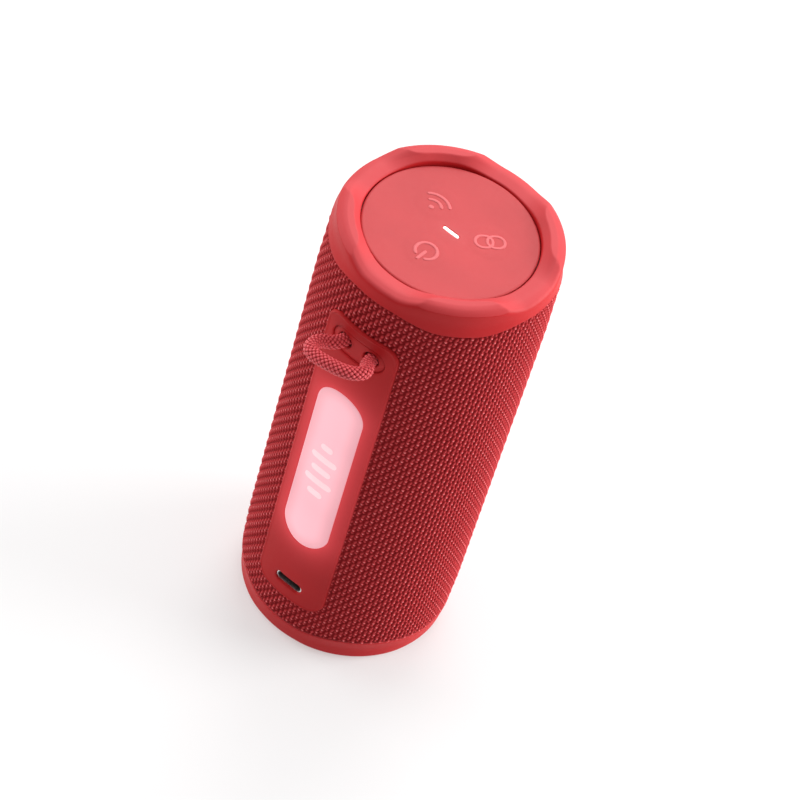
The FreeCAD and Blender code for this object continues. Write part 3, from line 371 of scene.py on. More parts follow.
def make_piece(name, points, faces, material, body, slot, attributes=None, close_normals=False):
    """A smooth mesh piece that rides on a body. body is None for a piece that rides on none."""
    mesh = bpy.data.meshes.new(name)
    mesh.from_pydata(np.asarray(points, float).reshape(-1, 3).tolist(), [], faces)
    mesh.validate()
    for key, values in (attributes or {}).items():
        mesh.attributes.new(key, "FLOAT", "POINT").data.foreach_set("value", np.asarray(values, np.float32))
    if close_normals:
        work = bmesh.new()
        work.from_mesh(mesh)
        bmesh.ops.remove_doubles(work, verts=work.verts, dist=0.5e-6)
        bmesh.ops.recalc_face_normals(work, faces=work.faces)
        work.to_mesh(mesh)
        work.free()
    mesh.shade_smooth()
    mesh.materials.append(material)
    obj = in_scene(name, mesh)
    if body:
        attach(obj, body)
    return obj


def grid_faces(rows, columns, close_rows=False, close_columns=False, keep=None):
    """Quads of a grid of points, row by row, with an optional mask of the quads to keep."""
    r = np.arange(rows if close_rows else rows - 1)[:, None]
    c = np.arange(columns if close_columns else columns - 1)[None, :]
    below, right = (r + 1) % rows, (c + 1) % columns
    quads = np.stack([r * columns + c, r * columns + right, below * columns + right, below * columns + c], -1)
    return (quads if keep is None else quads[keep]).reshape(-1, 4).tolist()


def rounded_path(corners, steps):
    """Points along corners given as (x, y, cut before, cut after), each corner rounded between its cuts."""
    corners = [np.array(c, float) for c in corners]
    count = len(corners)
    points = []
    for i, corner in enumerate(corners):
        here = corner[:2]
        before, after = corners[i - 1][:2], corners[(i + 1) % count][:2]
        enter = here + (before - here) / np.linalg.norm(before - here) * corner[2]
        leave = here + (after - here) / np.linalg.norm(after - here) * corner[3]
        for step in range(steps + 1):
            t = step / steps
            points.append((1 - t) ** 2 * enter + 2 * t * (1 - t) * here + t**2 * leave)
    return np.array(points)


def turned_profile(corners, steps):
    """A rounded profile from corners of (radius, height, cut before, cut after), in mm but for the height."""
    return rounded_path([(r * MM, z, a * MM, b * MM) for r, z, a, b in corners], steps)


def end_caps(rows, columns):
    """The two faces that close the ends of a tube of rings."""
    return [tuple(range(columns))[::-1], tuple(range((rows - 1) * columns, rows * columns))]


def tube(grid):
    """Points and faces of a closed tube, given ring by ring."""
    rows, columns = grid.shape[:2]
    return grid.reshape(-1, 3), grid_faces(rows, columns, False, True) + end_caps(rows, columns)


def rim(base, face, *steps):
    """A plate's edge as (inset, radius) pairs: its base, then steps of (inset, drop below the face) in mm."""
    pairs = [(inset * MM, face - drop * MM) for inset, drop in steps]
    return [(pairs[0][0], base)] + pairs


def around(radius, height, angle):
    """Points at the radii and heights of a profile, one row for each angle."""
    return np.stack([radius * np.cos(angle)[:, None], radius * np.sin(angle)[:, None],
                     height + 0 * angle[:, None]], -1)


def smooth_step(low, high, value):
    t = np.clip((value - low) / (high - low), 0, 1)
    return t * t * (3 - 2 * t)


class Outline:
    """A rectangle with round corners in X and Z: a spine, a slot or, with full rounding, a circle."""

    CORNERS = ((1, 1), (-1, 1), (-1, -1), (1, -1))

    def __init__(self, x, z, half_x, half_z, corner, step):
        self.centre = np.array([x, z])
        self.half = np.array([half_x, half_z])
        self.corner = corner
        self.arc = max(6, round(math.pi / 2 * corner / step))
        self.across = max(1, round(2 * (half_x - corner) / step))
        self.up = max(1, round(2 * (half_z - corner) / step))

    def ring(self, inset=0.0):
        """Points all round, the same number at every inset."""
        half = self.half - inset
        radius = max(self.corner - inset, 0.02 * MM)
        ends = half - radius
        points = []
        for turn, corner in enumerate(self.CORNERS):
            centre = self.centre + ends * corner
            for step in range(self.arc + 1):
                angle = math.pi / 2 * (turn + step / self.arc)
                points.append(centre + radius * np.array([math.cos(angle), math.sin(angle)]))
            side = self.across if turn % 2 == 0 else self.up
            last = points[-1]
            following = self.centre + ends * self.CORNERS[(turn + 1) % 4]
            target = following + radius * np.array([math.cos(angle), math.sin(angle)])
            for step in range(1, side):
                points.append(last + (target - last) * step / side)
        return np.array(points)

    def distance(self, points):
        """How far points lie outside, negative inside."""
        q = np.abs(points - self.centre) - (self.half - self.corner)
        outside = np.linalg.norm(np.maximum(q, 0), axis=-1)
        return outside + np.minimum(q.max(-1), 0) - self.corner


def outline_of(node, step=0.4 * MM, corner=None):
    """The outline of a CAD node seen along Y."""
    centre, half = middle(node), size(node) / 2
    if corner is None:
        corner = min(half.x, half.z)
    return Outline(centre.x, centre.z, half.x, half.z, corner, step)


def filled(outline, level, holes, spacing):
    """Triangles that fill an outline, less its holes; each of both is given with the inset of its ring."""
    rings = [outline.ring(level)] + [hole.ring(inset) for hole, inset in holes]
    points, edges = [], []
    for ring in rings:
        first, count = len(points), len(ring)
        points += ring.tolist()
        edges += [(first + i, first + (i + 1) % count) for i in range(count)]
    low, high = rings[0].min(0), rings[0].max(0)
    x, z = np.meshgrid(np.arange(low[0] + spacing / 2, high[0], spacing),
                       np.arange(low[1] + spacing / 2, high[1], spacing * 0.9))
    x[1::2] += spacing / 2
    inside = np.stack([x.ravel(), z.ravel()], -1)
    clear = outline.distance(inside) < -level - spacing * 0.6
    for hole, inset in holes:
        clear &= hole.distance(inside) > -inset + spacing * 0.6
    points += inside[clear].tolist()
    scale = 1 / MM
    scaled = [Vector((x * scale, z * scale)) for x, z in points]
    flat, _, triangles, *_ = delaunay_2d_cdt(scaled, edges, [], 0, 1e-7)
    flat = np.array([tuple(p) for p in flat]) * MM
    triangles = np.array([t for t in triangles if len(t) == 3])
    centres = flat[triangles].mean(1)
    keep = outline.distance(centres) < -level
    for hole, inset in holes:
        keep &= hole.distance(centres) > -inset
    return flat, triangles[keep]


def curved_plate(name, outline, edge, holes, side, material, body, slot, spacing, glow=None):
    """A plate bent round the can. edge and each hole's profile are (inset, radius) pairs from the back to the
    face; a hole's inset is negative outside its outline. glow gives each point's light."""
    points, faces = [], []

    def add(flat, radius):
        start = len(points)
        y = side * np.sqrt(np.maximum(radius**2 - flat[:, 0] ** 2, 0))
        points.extend(np.stack([flat[:, 0], y, flat[:, 1]], -1).tolist())
        return start

    def wall(shape, profile):
        count = len(shape.ring())
        starts = [add(shape.ring(inset), radius) for inset, radius in profile]
        for one, other in zip(starts, starts[1:]):
            for i in range(count):
                j = (i + 1) % count
                faces.append((one + i, one + j, other + j, other + i))

    wall(outline, edge)
    for shape, profile in holes:
        wall(shape, profile)
    for end in (0, -1):
        ends = [(shape, profile[end][0]) for shape, profile in holes]
        flat, triangles = filled(outline, edge[end][0], ends, spacing if end else spacing * 2)
        start = add(flat, edge[end][1])
        faces.extend((triangles + start).tolist())
    points = np.array(points)
    attributes = {} if glow is None else {"glow": glow(points)}
    return make_piece(name, points, faces, material, body, slot, attributes, close_normals=True)


def turned_piece(name, profile, material, body, slot):
    """A closed profile of (radius, height) turned about +Z."""
    count = 256
    grid = around(profile[:, 0], profile[:, 1], np.arange(count) * 2 * math.pi / count)
    faces = grid_faces(count, len(profile), True, True)
    return make_piece(name, grid, faces, material, body, slot, close_normals=True)


def raised_line(path, width, height, lift):
    """Points and faces of one embossed stroke along path on the plane z = lift, round at both ends."""
    path = np.array(path, float)
    closed = np.linalg.norm(path[0] - path[-1]) < 1e-9
    if closed:
        path = path[:-1]
        along = np.roll(path, -1, 0) - np.roll(path, 1, 0)
        share = np.ones(len(path))
    else:
        start = (path[0] - path[1]) / np.linalg.norm(path[0] - path[1])
        end = (path[-1] - path[-2]) / np.linalg.norm(path[-1] - path[-2])
        reach = np.array([1.0, 0.92, 0.7, 0.38])
        head = path[0] + np.outer(reach, start) * width / 2
        tail = path[-1] + np.outer(reach[::-1], end) * width / 2
        share = np.concatenate([np.sqrt(1 - reach**2) + 0.02, np.ones(len(path)),
                                np.sqrt(1 - reach[::-1] ** 2) + 0.02])
        path = np.concatenate([head, path, tail])
        along = np.gradient(path, axis=0)
    along /= np.linalg.norm(along, axis=1)[:, None]
    across = np.stack([-along[:, 1], along[:, 0]], -1)
    half = [(-1.0, -0.6), (-1.0, 0.0), (-0.86, 0.62), (-0.5, 0.93)]
    section = half + [(0.0, 1.0)] + [(-sideways, up) for sideways, up in half[::-1]]
    rows = []
    for sideways, up in section:
        flat = path + across * (share * sideways * width / 2)[:, None]
        rows.append(np.column_stack([flat, np.full(len(path), lift + up * height)]))
    points = np.stack(rows, 1)
    faces = grid_faces(len(path), len(section), closed, True)
    if not closed:
        faces += end_caps(len(path), len(section))
    return points.reshape(-1, 3), faces


def joined(parts):
    """Several (points, faces) as one."""
    points, faces = [], []
    for some, quads in parts:
        start = sum(len(p) for p in points)
        points.append(some)
        faces += [tuple(i + start for i in quad) for quad in quads]
    return np.concatenate(points), faces


# ---------------- end bumpers
def off_pad(angle):
    """Angle from the middle of the nearest of the four pads, at 45 degrees and every 90 on."""
    return np.abs(angle % (math.pi / 2) - math.pi / 4)


def edge_share(angle):
    """1 where the bumper reaches furthest over the sleeve, 0 in the valleys, in a slow wave."""
    return 1 - smooth_step(math.radians(9), math.radians(36), off_pad(angle))


def bumper(name, top_face, seat, dip, valley_edge, pad_edge, material):
    """Rubber ring whose crest rises and falls; each rise is cut flat at the top face, and makes a pad."""
    up = 1 if top_face > seat else -1
    inner = SHELL_RADIUS / MM + 0.1
    bore = DISC_RADIUS / MM
    crest = -0.52 * dip
    crown_start, crown = 27.2 * MM, 0.2 / MM

    def down(value):
        return top_face - up * value * MM

    pad = turned_profile([
        (bore + 0.2, seat, 0.2, 0.2), (bore + 0.2, down(1.5), 0.6, 0.6), (26.8, down(crest), 1.9, 0.6),
        (29.85, down(crest), 1.5, 2.6), (30.0, down(5.0), 1.4, 1.4), (30.85, pad_edge, 0.4, 0.3),
        (inner, pad_edge, 0.1, 0.1), (inner, seat, 0.1, 0.1)], 12)
    valley = turned_profile([
        (bore + 0.25, seat, 0.2, 0.2), (bore + 0.25, down(dip + 0.5), 0.6, 0.6), (27.5, down(dip), 1.2, 0.9),
        (30.15, down(dip + 0.65), 1.2, 1.3), (30.6, down(5.0), 0.6, 0.5), (30.95, valley_edge, 0.4, 0.3),
        (inner, valley_edge, 0.1, 0.1), (inner, seat, 0.1, 0.1)], 12)
    count = 720
    angle = np.arange(count) * 2 * math.pi / count
    share = edge_share(angle)[:, None, None]
    outline = share * pad[None] + (1 - share) * valley[None]
    r, z = outline[..., 0], outline[..., 1]
    fall = crown * np.maximum(r - crown_start, 0) ** 2
    z = up * np.minimum(up * z, up * top_face - fall)
    faces = grid_faces(count, len(pad), True, True)
    return make_piece(name, around(r, z, angle), faces, material, "housing", "bumper_rubber",
                      close_normals=True)


def end_bumpers():
    material = soft_rubber("bumper_rubber", RUBBER_RED, 0.5, 0.15, PAINTED_TOP_HIGHLIGHT_RED).material
    top = bumper("bumper_top", TOP, CAP_TOP, 1.8, FABRIC_HIGH, FABRIC_HIGH - PAD_DROP, material)
    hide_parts("top_bumper")
    low = bumper("bumper_bottom", 0.0, FOOT_CAP, 0.7, FABRIC_LOW, FABRIC_LOW + PAD_RISE, material)
    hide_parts("bottom_bumper")


# ---------------- woven sleeve
COLUMNS = 146
PER_COLUMN = 6
PER_STITCH = 16
SECTORS = 6
COLUMN = 2 * math.pi * CAN_RADIUS / COLUMNS
STITCH = 3.82 * MM
STEP_UP = STITCH * 70 / COLUMNS
FABRIC_LIFT = 0.6 * MM
FABRIC_BASE = CAN_RADIUS - FABRIC_LIFT
SWELL = 0.33 * MM
WANDER = 0.03 * MM
# each repeat of a column: its place across and up in mm, lean in degrees, half length, half width, height
GRAINS = [
    (0.16, 1.42, 68, 0.84, 0.47, 0.80),
    (0.02, 0.22, 132, 0.66, 0.46, 1.0),
    (-0.18, -0.86, 118, 0.66, 0.44, 0.80),
]


def grain(u, z, lean, half_length, half_width):
    """Height, 0 to 1, of one yarn float centred on the origin, leaning lean radians from the hoop."""
    along = u * math.cos(lean) + z * math.sin(lean)
    across = -u * math.sin(lean) + z * math.cos(lean)
    inside = 1 - (across / half_width) ** 2 - (along / half_length) ** 2
    return np.sqrt(np.maximum(inside, 0))


def knit(u, z):
    """Height of the knit, 0 to 1: columns of a long stitch and two beads, each higher than the last."""
    height = np.zeros_like(u)
    for column in (-1, 0, 1):
        at = np.floor(u / COLUMN) + column
        du = u - (at + 0.5) * COLUMN
        dz = (z - at * STEP_UP + STITCH / 2) % STITCH - STITCH / 2
        for turn in (-STITCH, 0, STITCH):
            for x, y, lean, length, width, top in GRAINS:
                one = grain(du - x * MM, dz + turn - y * MM, math.radians(lean), length * MM, width * MM)
                height = np.maximum(height, top * one)
    return height


def sleeve():
    """Knitted tube in six sectors, tucked under the bumpers, the spine and the key panel."""
    material = fabric_look()
    across = COLUMNS * PER_COLUMN
    row = STITCH / PER_STITCH
    spare = 0.4 * MM
    first, last = math.floor((FABRIC_LOW - spare) / row), math.ceil((FABRIC_HIGH + spare) / row)
    angle = np.arange(across + 1) * 2 * math.pi / across - math.pi
    z, a = np.meshgrid(np.arange(first, last + 1) * row, angle, indexing="ij")
    height = knit(a * CAN_RADIUS, z)
    rng = np.random.default_rng(SEED)
    wander = rng.normal(0, 1, (12, 3))
    slow = sum(math.cos(w[2]) * np.cos(round(3 + 2 * abs(w[0])) * a + 90 * w[1] * z + w[2]) for w in wander)
    swell = SWELL * smooth_step(8 * MM, 22 * MM, z) * (1 - smooth_step(122 * MM, 138 * MM, z))
    radius = FABRIC_BASE + height * FABRIC_LIFT + swell + WANDER * slow / len(wander)
    pad = edge_share(a)
    top_edge, low_edge = FABRIC_HIGH - PAD_DROP * pad, FABRIC_LOW + PAD_RISE * pad
    tuck = 0.5 * MM
    hidden = np.maximum(smooth_step(top_edge - tuck, top_edge, z),
                        1 - smooth_step(low_edge, low_edge + tuck, z))
    deep = np.zeros_like(hidden, bool)
    flat = np.stack([CAN_RADIUS * np.cos(a), z], -1)
    for node, corner, side in (("rear_spine", SPINE_CORNER, REAR), ("key_panel", None, FRONT)):
        away = np.where(np.sin(a) * side > 0, outline_of(node, corner=corner).distance(flat), 1.0)
        hidden = np.maximum(hidden, 1 - smooth_step(-0.35 * MM, 0.25 * MM, away))
        deep |= away < -1.2 * MM
    radius = radius * (1 - hidden) + TUCK_RADIUS * hidden
    grid = np.stack([radius * np.cos(a), radius * np.sin(a), z], -1)
    # painted shade: the colour height drops where the knit tucks under the bumpers, the spine and the key
    # panel, so the ramp paints it darker there
    tuck_shaded_height = height * (1 - 0.6 * hidden)
    sector = across // SECTORS
    for number in range(SECTORS):
        cut = slice(number * sector, (number + 1) * sector + 1)
        part, dropped = grid[:, cut], deep[:, cut]
        keep = ~(dropped[1:, 1:] & dropped[:-1, :-1] & dropped[1:, :-1] & dropped[:-1, 1:])
        rows, columns = part.shape[:2]
        piece = make_piece(f"sleeve_sector_{number + 1}", part, grid_faces(rows, columns, keep=keep),
                           material, "housing", "sleeve_fabric", {"height": tuck_shaded_height[:, cut].ravel()})
        drop_loose(piece)
        if number == 0:
            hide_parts("fabric_sleeve")


def drop_loose(piece):
    work = bmesh.new()
    work.from_mesh(piece.data)
    bmesh.ops.delete(work, geom=[v for v in work.verts if not v.link_faces], context="VERTS")
    work.to_mesh(piece.data)
    work.free()


# ---------------- control disc, icons and status light
DISC_KEYS = ("link_key", "pairing_key", "power_key")
DOME = 0.08 * MM


def key_centre(key):
    place = middle(key)
    return np.array([place.x, place.y])


def disc_skin():
    """Soft top skin in three sectors, one for each key."""
    look = soft_rubber("disc_silicone", DISC_RED, 0.5)
    glowing(look, (1.0, 0.45, 0.45), 0.05)
    bar = size("status_light") / 2
    steps = 360
    angle = np.arange(steps + 1) * 2 * math.pi / steps - math.pi / 6
    cos, sin = np.cos(angle), np.sin(angle)
    reach = bar.x - bar.y
    slot_half = bar.y + 0.05 * MM
    slot_end = reach + slot_half
    slot = np.where(np.abs(sin) * slot_end > slot_half * np.abs(cos),
                    slot_half / np.maximum(np.abs(sin), 1e-9), slot_end / np.maximum(np.abs(cos), 1e-9))
    slot = np.minimum(slot, slot_end)
    lip = slot + 0.12 * MM
    outer = DISC_RADIUS - 0.8 * MM
    rows = [(slot, DISC_TOP - 0.9 * MM), (slot, DISC_TOP - 0.15 * MM), (lip, DISC_TOP)]
    rows += [(lip + (outer - slot - 0.12 * MM) * share, DISC_TOP) for share in np.linspace(0, 1, 56)[1:]]
    for inset, drop in ((0.55, 0), (0.25, 0.06), (0.08, 0.22), (0, 0.5), (0, 1.5)):
        rows.append((np.full_like(slot, DISC_RADIUS - inset * MM), DISC_TOP - drop * MM))
    grid = np.stack([np.stack([r * cos, r * sin, np.full_like(r, z)], -1) for r, z in rows])
    top_rows = np.isclose(grid[..., 2], DISC_TOP)
    for key in DISC_KEYS:
        away = np.linalg.norm(grid[..., :2] - key_centre(key), axis=-1)
        grid[..., 2] += np.where(top_rows, DOME * (1 - smooth_step(4.4 * MM, 6.6 * MM, away)), 0)
    x = np.maximum(np.abs(grid[..., 0]) - reach, 0)
    light = np.exp(-np.maximum(np.hypot(x, grid[..., 1]) - bar.y, 0) / (1.1 * MM))
    third = steps // 3
    for number, key in enumerate(DISC_KEYS):
        cut = slice(number * third, (number + 1) * third + 1)
        part = grid[:, cut]
        piece = make_piece(f"disc_skin_{key}", part, grid_faces(*part.shape[:2]), look.material,
                           None, "disc_silicone", {"glow": light[:, cut].ravel()})
        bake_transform(piece)
        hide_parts(key)
        if number == 0:
            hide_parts("control_disc")


def arc(centre, radius, start, end, steps=24):
    """Points on an arc in the plane, with its angles in degrees."""
    angle = np.radians(np.linspace(start, end, steps))
    return np.array(centre) + radius * np.stack([np.cos(angle), np.sin(angle)], -1)


def ring_outline(centre, half_long, radius, tilt):
    """A closed slot-shaped loop, long along tilt degrees."""
    steps = 14
    turn = math.radians(tilt)
    along = np.array([math.cos(turn), math.sin(turn)])
    one = arc(centre + along * half_long, radius, tilt - 90, tilt + 90, steps)
    other = arc(centre - along * half_long, radius, tilt + 90, tilt + 270, steps)
    return np.concatenate([one, other, one[:1]])


def icon_strokes():
    """Each key's icon as plain signs: power, a dot with waves, and two linked rings."""
    link, pairing, power = (key_centre(key) for key in DISC_KEYS)
    tick = [power + (0, -0.5 * MM), power + (0, -2.0 * MM), power + (0, -3.6 * MM)]
    waves = [arc(pairing - (0, 2.4 * MM), radius * MM, 45, 135) for radius in (2.7, 4.9)]
    dot = [pairing - (0.05 * MM, 2.4 * MM), pairing - (-0.05 * MM, 2.4 * MM)]
    tilt = 45
    shift = 1.6 * MM * np.array([math.cos(math.radians(tilt)), math.sin(math.radians(tilt))])
    rings = [ring_outline(link + shift * side, 0.3 * MM, 2.05 * MM, tilt) for side in (1, -1)]
    thin, fine, bold = 0.95 * MM, 0.85 * MM, 1.4 * MM
    return {
        "power_key": [(arc(power, 2.9 * MM, -58, 238, 60), thin), (tick, thin)],
        "pairing_key": [(wave, thin) for wave in waves] + [(dot, bold)],
        "link_key": [(ring, fine) for ring in rings],
    }


def icons():
    look = soft_rubber("icon_silicone", (0.72, 0.13, 0.14), 0.42)
    for key, strokes in icon_strokes().items():
        lines = [raised_line(path, width, 0.14 * MM, DISC_TOP + DOME) for path, width in strokes]
        points, faces = joined(lines)
        make_piece(f"icon_{key}", points, faces, look.material, key, "disc_silicone", close_normals=True)


def status_bar():
    """Rounded lit bar, just proud of the disc."""
    half = size("status_light") / 2
    low, high = span("status_light", 2)
    outline = Outline(0, 0, half.x, half.y, half.y - 0.02 * MM, 0.15 * MM)
    rings = rim(low, high, (0.0, 0.12), (0.06, 0.03), (0.16, 0), (0.3, -0.02))
    grid = np.stack([np.insert(outline.ring(inset), 2, z, axis=1) for inset, z in rings])
    bar = make_piece("status_bar", *tube(grid), lamp_look(), "housing", "status_lens", close_normals=True)
    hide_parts("status_light")


# ---------------- rear spine, window and eyelets
def window_glow(points):
    """Light that the window spills on the rubber round it."""
    window = outline_of("light_window")
    away = window.distance(points[:, [0, 2]])
    return np.where(points[:, 1] < 0, np.exp(-np.maximum(away, 0) / (4.2 * MM)), 0)


def rear_spine():
    look = soft_rubber("spine_rubber", DARK_RED, 0.55, 0.12)
    glowing(look, WINDOW_SPILL, SPILL_STRENGTH)
    window, plate = outline_of("light_window"), outline_of("loop_eyelets")
    socket = outline_of("socket_shell", step=0.15 * MM)
    face = SPINE_RADIUS - 0.12 * MM
    edge = rim(TUCK_RADIUS, face, (0.0, 0.6), (0.04, 0.2), (0.16, -0.02), (0.36, -0.12), (0.6, -0.10),
               (0.85, 0), (1.1, 0))

    def hole(gap, curl):
        """A hole's edge, gap mm outside its outline and rounded over curl mm."""
        return rim(TUCK_RADIUS, face, (-gap, 1.2 * curl), (-gap - 0.2 * curl, 0.45 * curl),
                   (-gap - 0.55 * curl, 0.12 * curl), (-gap - curl, 0))

    holes = [(window, hole(0.04, 0.2)), (plate, hole(0.02, 0.45)), (socket, hole(0.06, 0.5))]
    spine = curved_plate("spine", outline_of("rear_spine", corner=SPINE_CORNER), edge, holes, REAR,
                         look.material, "housing", "spine_rubber", 0.8 * MM, window_glow)
    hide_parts("rear_spine")


def lit_window():
    window = outline_of("light_window")
    face = -span("light_window", 1)[0]
    edge = rim(SHELL_RADIUS, face, (0.0, 0.25), (0.08, 0.08), (0.25, 0.01), (0.6, 0))
    lens = curved_plate("window_lens", window, edge, [], REAR, lens_look(), "housing", "window_lens", MM,
                        lambda points: smooth_step(0, 4.5 * MM, -window.distance(points[:, [0, 2]])))
    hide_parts("light_window")
    dress(frame["nodes"]["window_marks"], mark_look())


def eyelets():
    """Moulded insert with a raised rim round each of the loop's two holes."""
    look = soft_rubber("eyelet_rubber", DARK_RED, 0.5, 0.15)
    glowing(look, WINDOW_SPILL, SPILL_STRENGTH)
    plate = outline_of("loop_eyelets")
    face = -span("loop_eyelets", 1)[0]
    back = SHELL_RADIUS - 0.9 * MM
    edge = rim(back, face, (0.03, 0.2), (0.15, 0))
    hole_radius, spacing = 2.25 * MM, 4.3 * MM
    height = middle("loop_eyelets").z
    holes = []
    for side in (-1, 1):
        shape = Outline(side * spacing, height, hole_radius, hole_radius, hole_radius - 0.01 * MM, 0.2 * MM)
        raised = rim(back, face, (0.0, 0.5), (-0.12, 0.1), (-0.3, -0.06), (-0.5, -0.03), (-0.62, 0))
        holes.append((shape, raised))
    piece = curved_plate("loop_insert", plate, edge, holes, REAR, look.material, "housing", "eyelet_rubber",
                         0.7 * MM, window_glow)
    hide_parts("loop_eyelets")


# ---------------- carry loop
LOOP_ROUTE = [
    (-0.0043, -0.0278, 0.1225), (-0.0043, -0.0328, 0.1225), (-0.0088, -0.0372, 0.1238),
    (-0.0076, -0.0423, 0.1244), (-0.0020, -0.0428, 0.1254), (0.0046, -0.0412, 0.1254),
    (0.0077, -0.0368, 0.1248), (0.0043, -0.0324, 0.1225), (0.0043, -0.0278, 0.1225),
]
CORD_DIAMETER = 3.8 * MM


def route_line(route):
    """The points of the route's smooth curve, read from the curve as it is drawn."""
    curve = bpy.data.curves.new("loop_route", "CURVE")
    curve.dimensions = "3D"
    spline = curve.splines.new("NURBS")
    spline.points.add(len(route) - 1)
    for point, place in zip(spline.points, route):
        point.co = (*place, 1)
    spline.order_u = 3
    spline.use_endpoint_u = True
    spline.resolution_u = 40
    holder = in_scene("loop_route", curve)
    mesh = bpy.data.meshes.new_from_object(holder)
    line = np.array([v.co for v in mesh.vertices], float)
    bpy.data.objects.remove(holder)
    bpy.data.meshes.remove(mesh)
    bpy.data.curves.remove(curve)
    return line


def evenly(line, step):
    """The same line as points a step apart, with the distance of each along it."""
    runs = np.linalg.norm(np.diff(line, axis=0), axis=1)
    along = np.concatenate([[0], np.cumsum(runs)])
    at = np.linspace(0, along[-1], round(along[-1] / step) + 1)
    return np.stack([np.interp(at, along, line[:, i]) for i in range(3)], -1), at


def frames_along(line):
    """Two unit normals at each point of a line, carried along without twist."""
    tangent = np.gradient(line, axis=0)
    tangent /= np.linalg.norm(tangent, axis=1)[:, None]
    normal = np.zeros_like(line)
    normal[0] = np.cross(tangent[0], (0, 0, 1.0))
    for i in range(1, len(line)):
        carried = normal[i - 1] - tangent[i] * (normal[i - 1] @ tangent[i])
        normal[i] = carried / np.linalg.norm(carried)
    normal[0] /= np.linalg.norm(normal[0])
    return normal, np.cross(tangent, normal)


def braid():
    """Carry loop: eight yarns wound each way, braided over a core, each yarn three plies wide."""
    line, at = evenly(route_line(LOOP_ROUTE), 0.16 * MM)
    normal, binormal = frames_along(line)
    yarns, pitch = 8, 9.6 * MM
    half_wide, half_thick, wave = 0.36 * MM, 0.25 * MM, 0.19 * MM
    middle_radius = CORD_DIAMETER / 2 - half_thick - wave
    sides = 14
    turn = np.arange(sides) * 2 * math.pi / sides
    crossing = pitch / (2 * yarns)
    parts, heights, fibres = [], [], []
    for way in (1, -1):
        for number in range(yarns):
            angle = 2 * math.pi * number / yarns + way * 2 * math.pi * at / pitch
            over = way * np.cos(math.pi * at / crossing)
            radius = middle_radius + wave * over
            out = normal * np.cos(angle)[:, None] + binormal * np.sin(angle)[:, None]
            centre = line + out * radius[:, None]
            along = np.gradient(centre, axis=0)
            along /= np.linalg.norm(along, axis=1)[:, None]
            side = np.cross(along, out)
            side /= np.linalg.norm(side, axis=1)[:, None]
            lobes = 1 + 0.10 * np.abs(np.sin(1.5 * turn))
            x, y = half_wide * np.cos(turn) * lobes, half_thick * np.sin(turn) * lobes
            grid = centre[:, None] + side[:, None] * x[None, :, None] + out[:, None] * y[None, :, None]
            parts.append(tube(grid))
            # painted shade and highlight: the colour height is higher where a yarn crosses over and on its
            # outward side, so the ramp paints those paler and the rest darker
            lift = 0.5 + 0.32 * over[:, None] + 0.22 * np.sin(turn)[None]
            heights.append(lift.ravel())
            fibres.append(np.broadcast_to(0.5 + 0.5 * np.cos(9 * turn)[None], grid.shape[:2]).ravel())
    core_sides, core = 24, CORD_DIAMETER / 2 - 0.75 * MM
    turn = np.arange(core_sides) * 2 * math.pi / core_sides
    grid = line[:, None] + core * (normal[:, None] * np.cos(turn)[None, :, None]
                                   + binormal[:, None] * np.sin(turn)[None, :, None])
    parts.append(tube(grid))
    # the core gets the darkest ramp colour: painted shade between the yarns
    heights.append(np.zeros(len(line) * core_sides))
    fibres.append(heights[-1])
    points, faces = joined(parts)
    attributes = {"height": np.concatenate(heights), "fibre": np.concatenate(fibres)}
    loop = make_piece("carry_loop_braid", points, faces, yarn_look(), None, "cord_braid", attributes)
    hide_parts("loop_cord")
    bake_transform(loop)


# ---------------- front keys
def front_panel():
    look = soft_rubber("panel_rubber", PANEL_RED, 0.45)
    face = span("key_panel", 1)[1]
    top = face - 0.15 * MM
    edge = rim(TUCK_RADIUS, face, (0.0, 0.6), (0.05, 0.2), (0.2, 0.04), (0.5, 0))
    hole = rim(TUCK_RADIUS, face, (-0.2, 0.5), (-0.25, 0.15), (-0.4, 0.02), (-0.6, 0))
    cap_edge = rim(TUCK_RADIUS, top, (0.0, 0.7), (0.08, 0.3), (0.3, 0.08), (0.6, 0.01), (0.9, 0))
    keys = {"volume_up_key": "plus", "play_key": "play", "volume_down_key": "minus"}
    holes = []
    for key in keys:
        place, half = middle(key), size(key).x / 2
        shape = Outline(place.x, place.z, half, half, half - 0.01 * MM, 0.3 * MM)
        holes.append((shape, hole))
        cap = curved_plate(f"cap_{key}", shape, cap_edge, [], FRONT, look.material, key, "panel_rubber",
                           0.8 * MM)
        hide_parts(key)
    piece = curved_plate("panel", outline_of("key_panel"), edge, holes, FRONT, look.material, "housing",
                         "panel_rubber", 0.8 * MM)
    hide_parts("key_panel")
    front_icons(keys, top)


def front_icons(keys, radius):
    """Plus, triangle and minus, embossed on the front keys at a radius."""
    look = soft_rubber("panel_icon", tint(PANEL_RED, 1.5), 0.4)
    reach = 1.9 * MM
    level = [(-reach, 0), (0, 0), (reach, 0)]
    upper, tip, lower = (-1.3 * MM, 1.7 * MM), (reach, 0), (-1.3 * MM, -1.7 * MM)
    lines = {
        "plus": [level, [(0, -reach), (0, 0), (0, reach)]],
        "minus": [level],
        "play": [[upper, tip], [tip, lower], [lower, upper]],
    }
    for key, sign in keys.items():
        points, faces = joined([raised_line(path, 0.7 * MM, 0.15 * MM, 0.0) for path in lines[sign]])
        height = middle(key).z
        r = radius + points[:, 2]
        x = -points[:, 0]
        placed = np.stack([x, np.sqrt(r**2 - x**2), height + points[:, 1]], -1)
        make_piece(f"icon_{key}", placed, faces, look.material, key, "panel_rubber", close_normals=True)


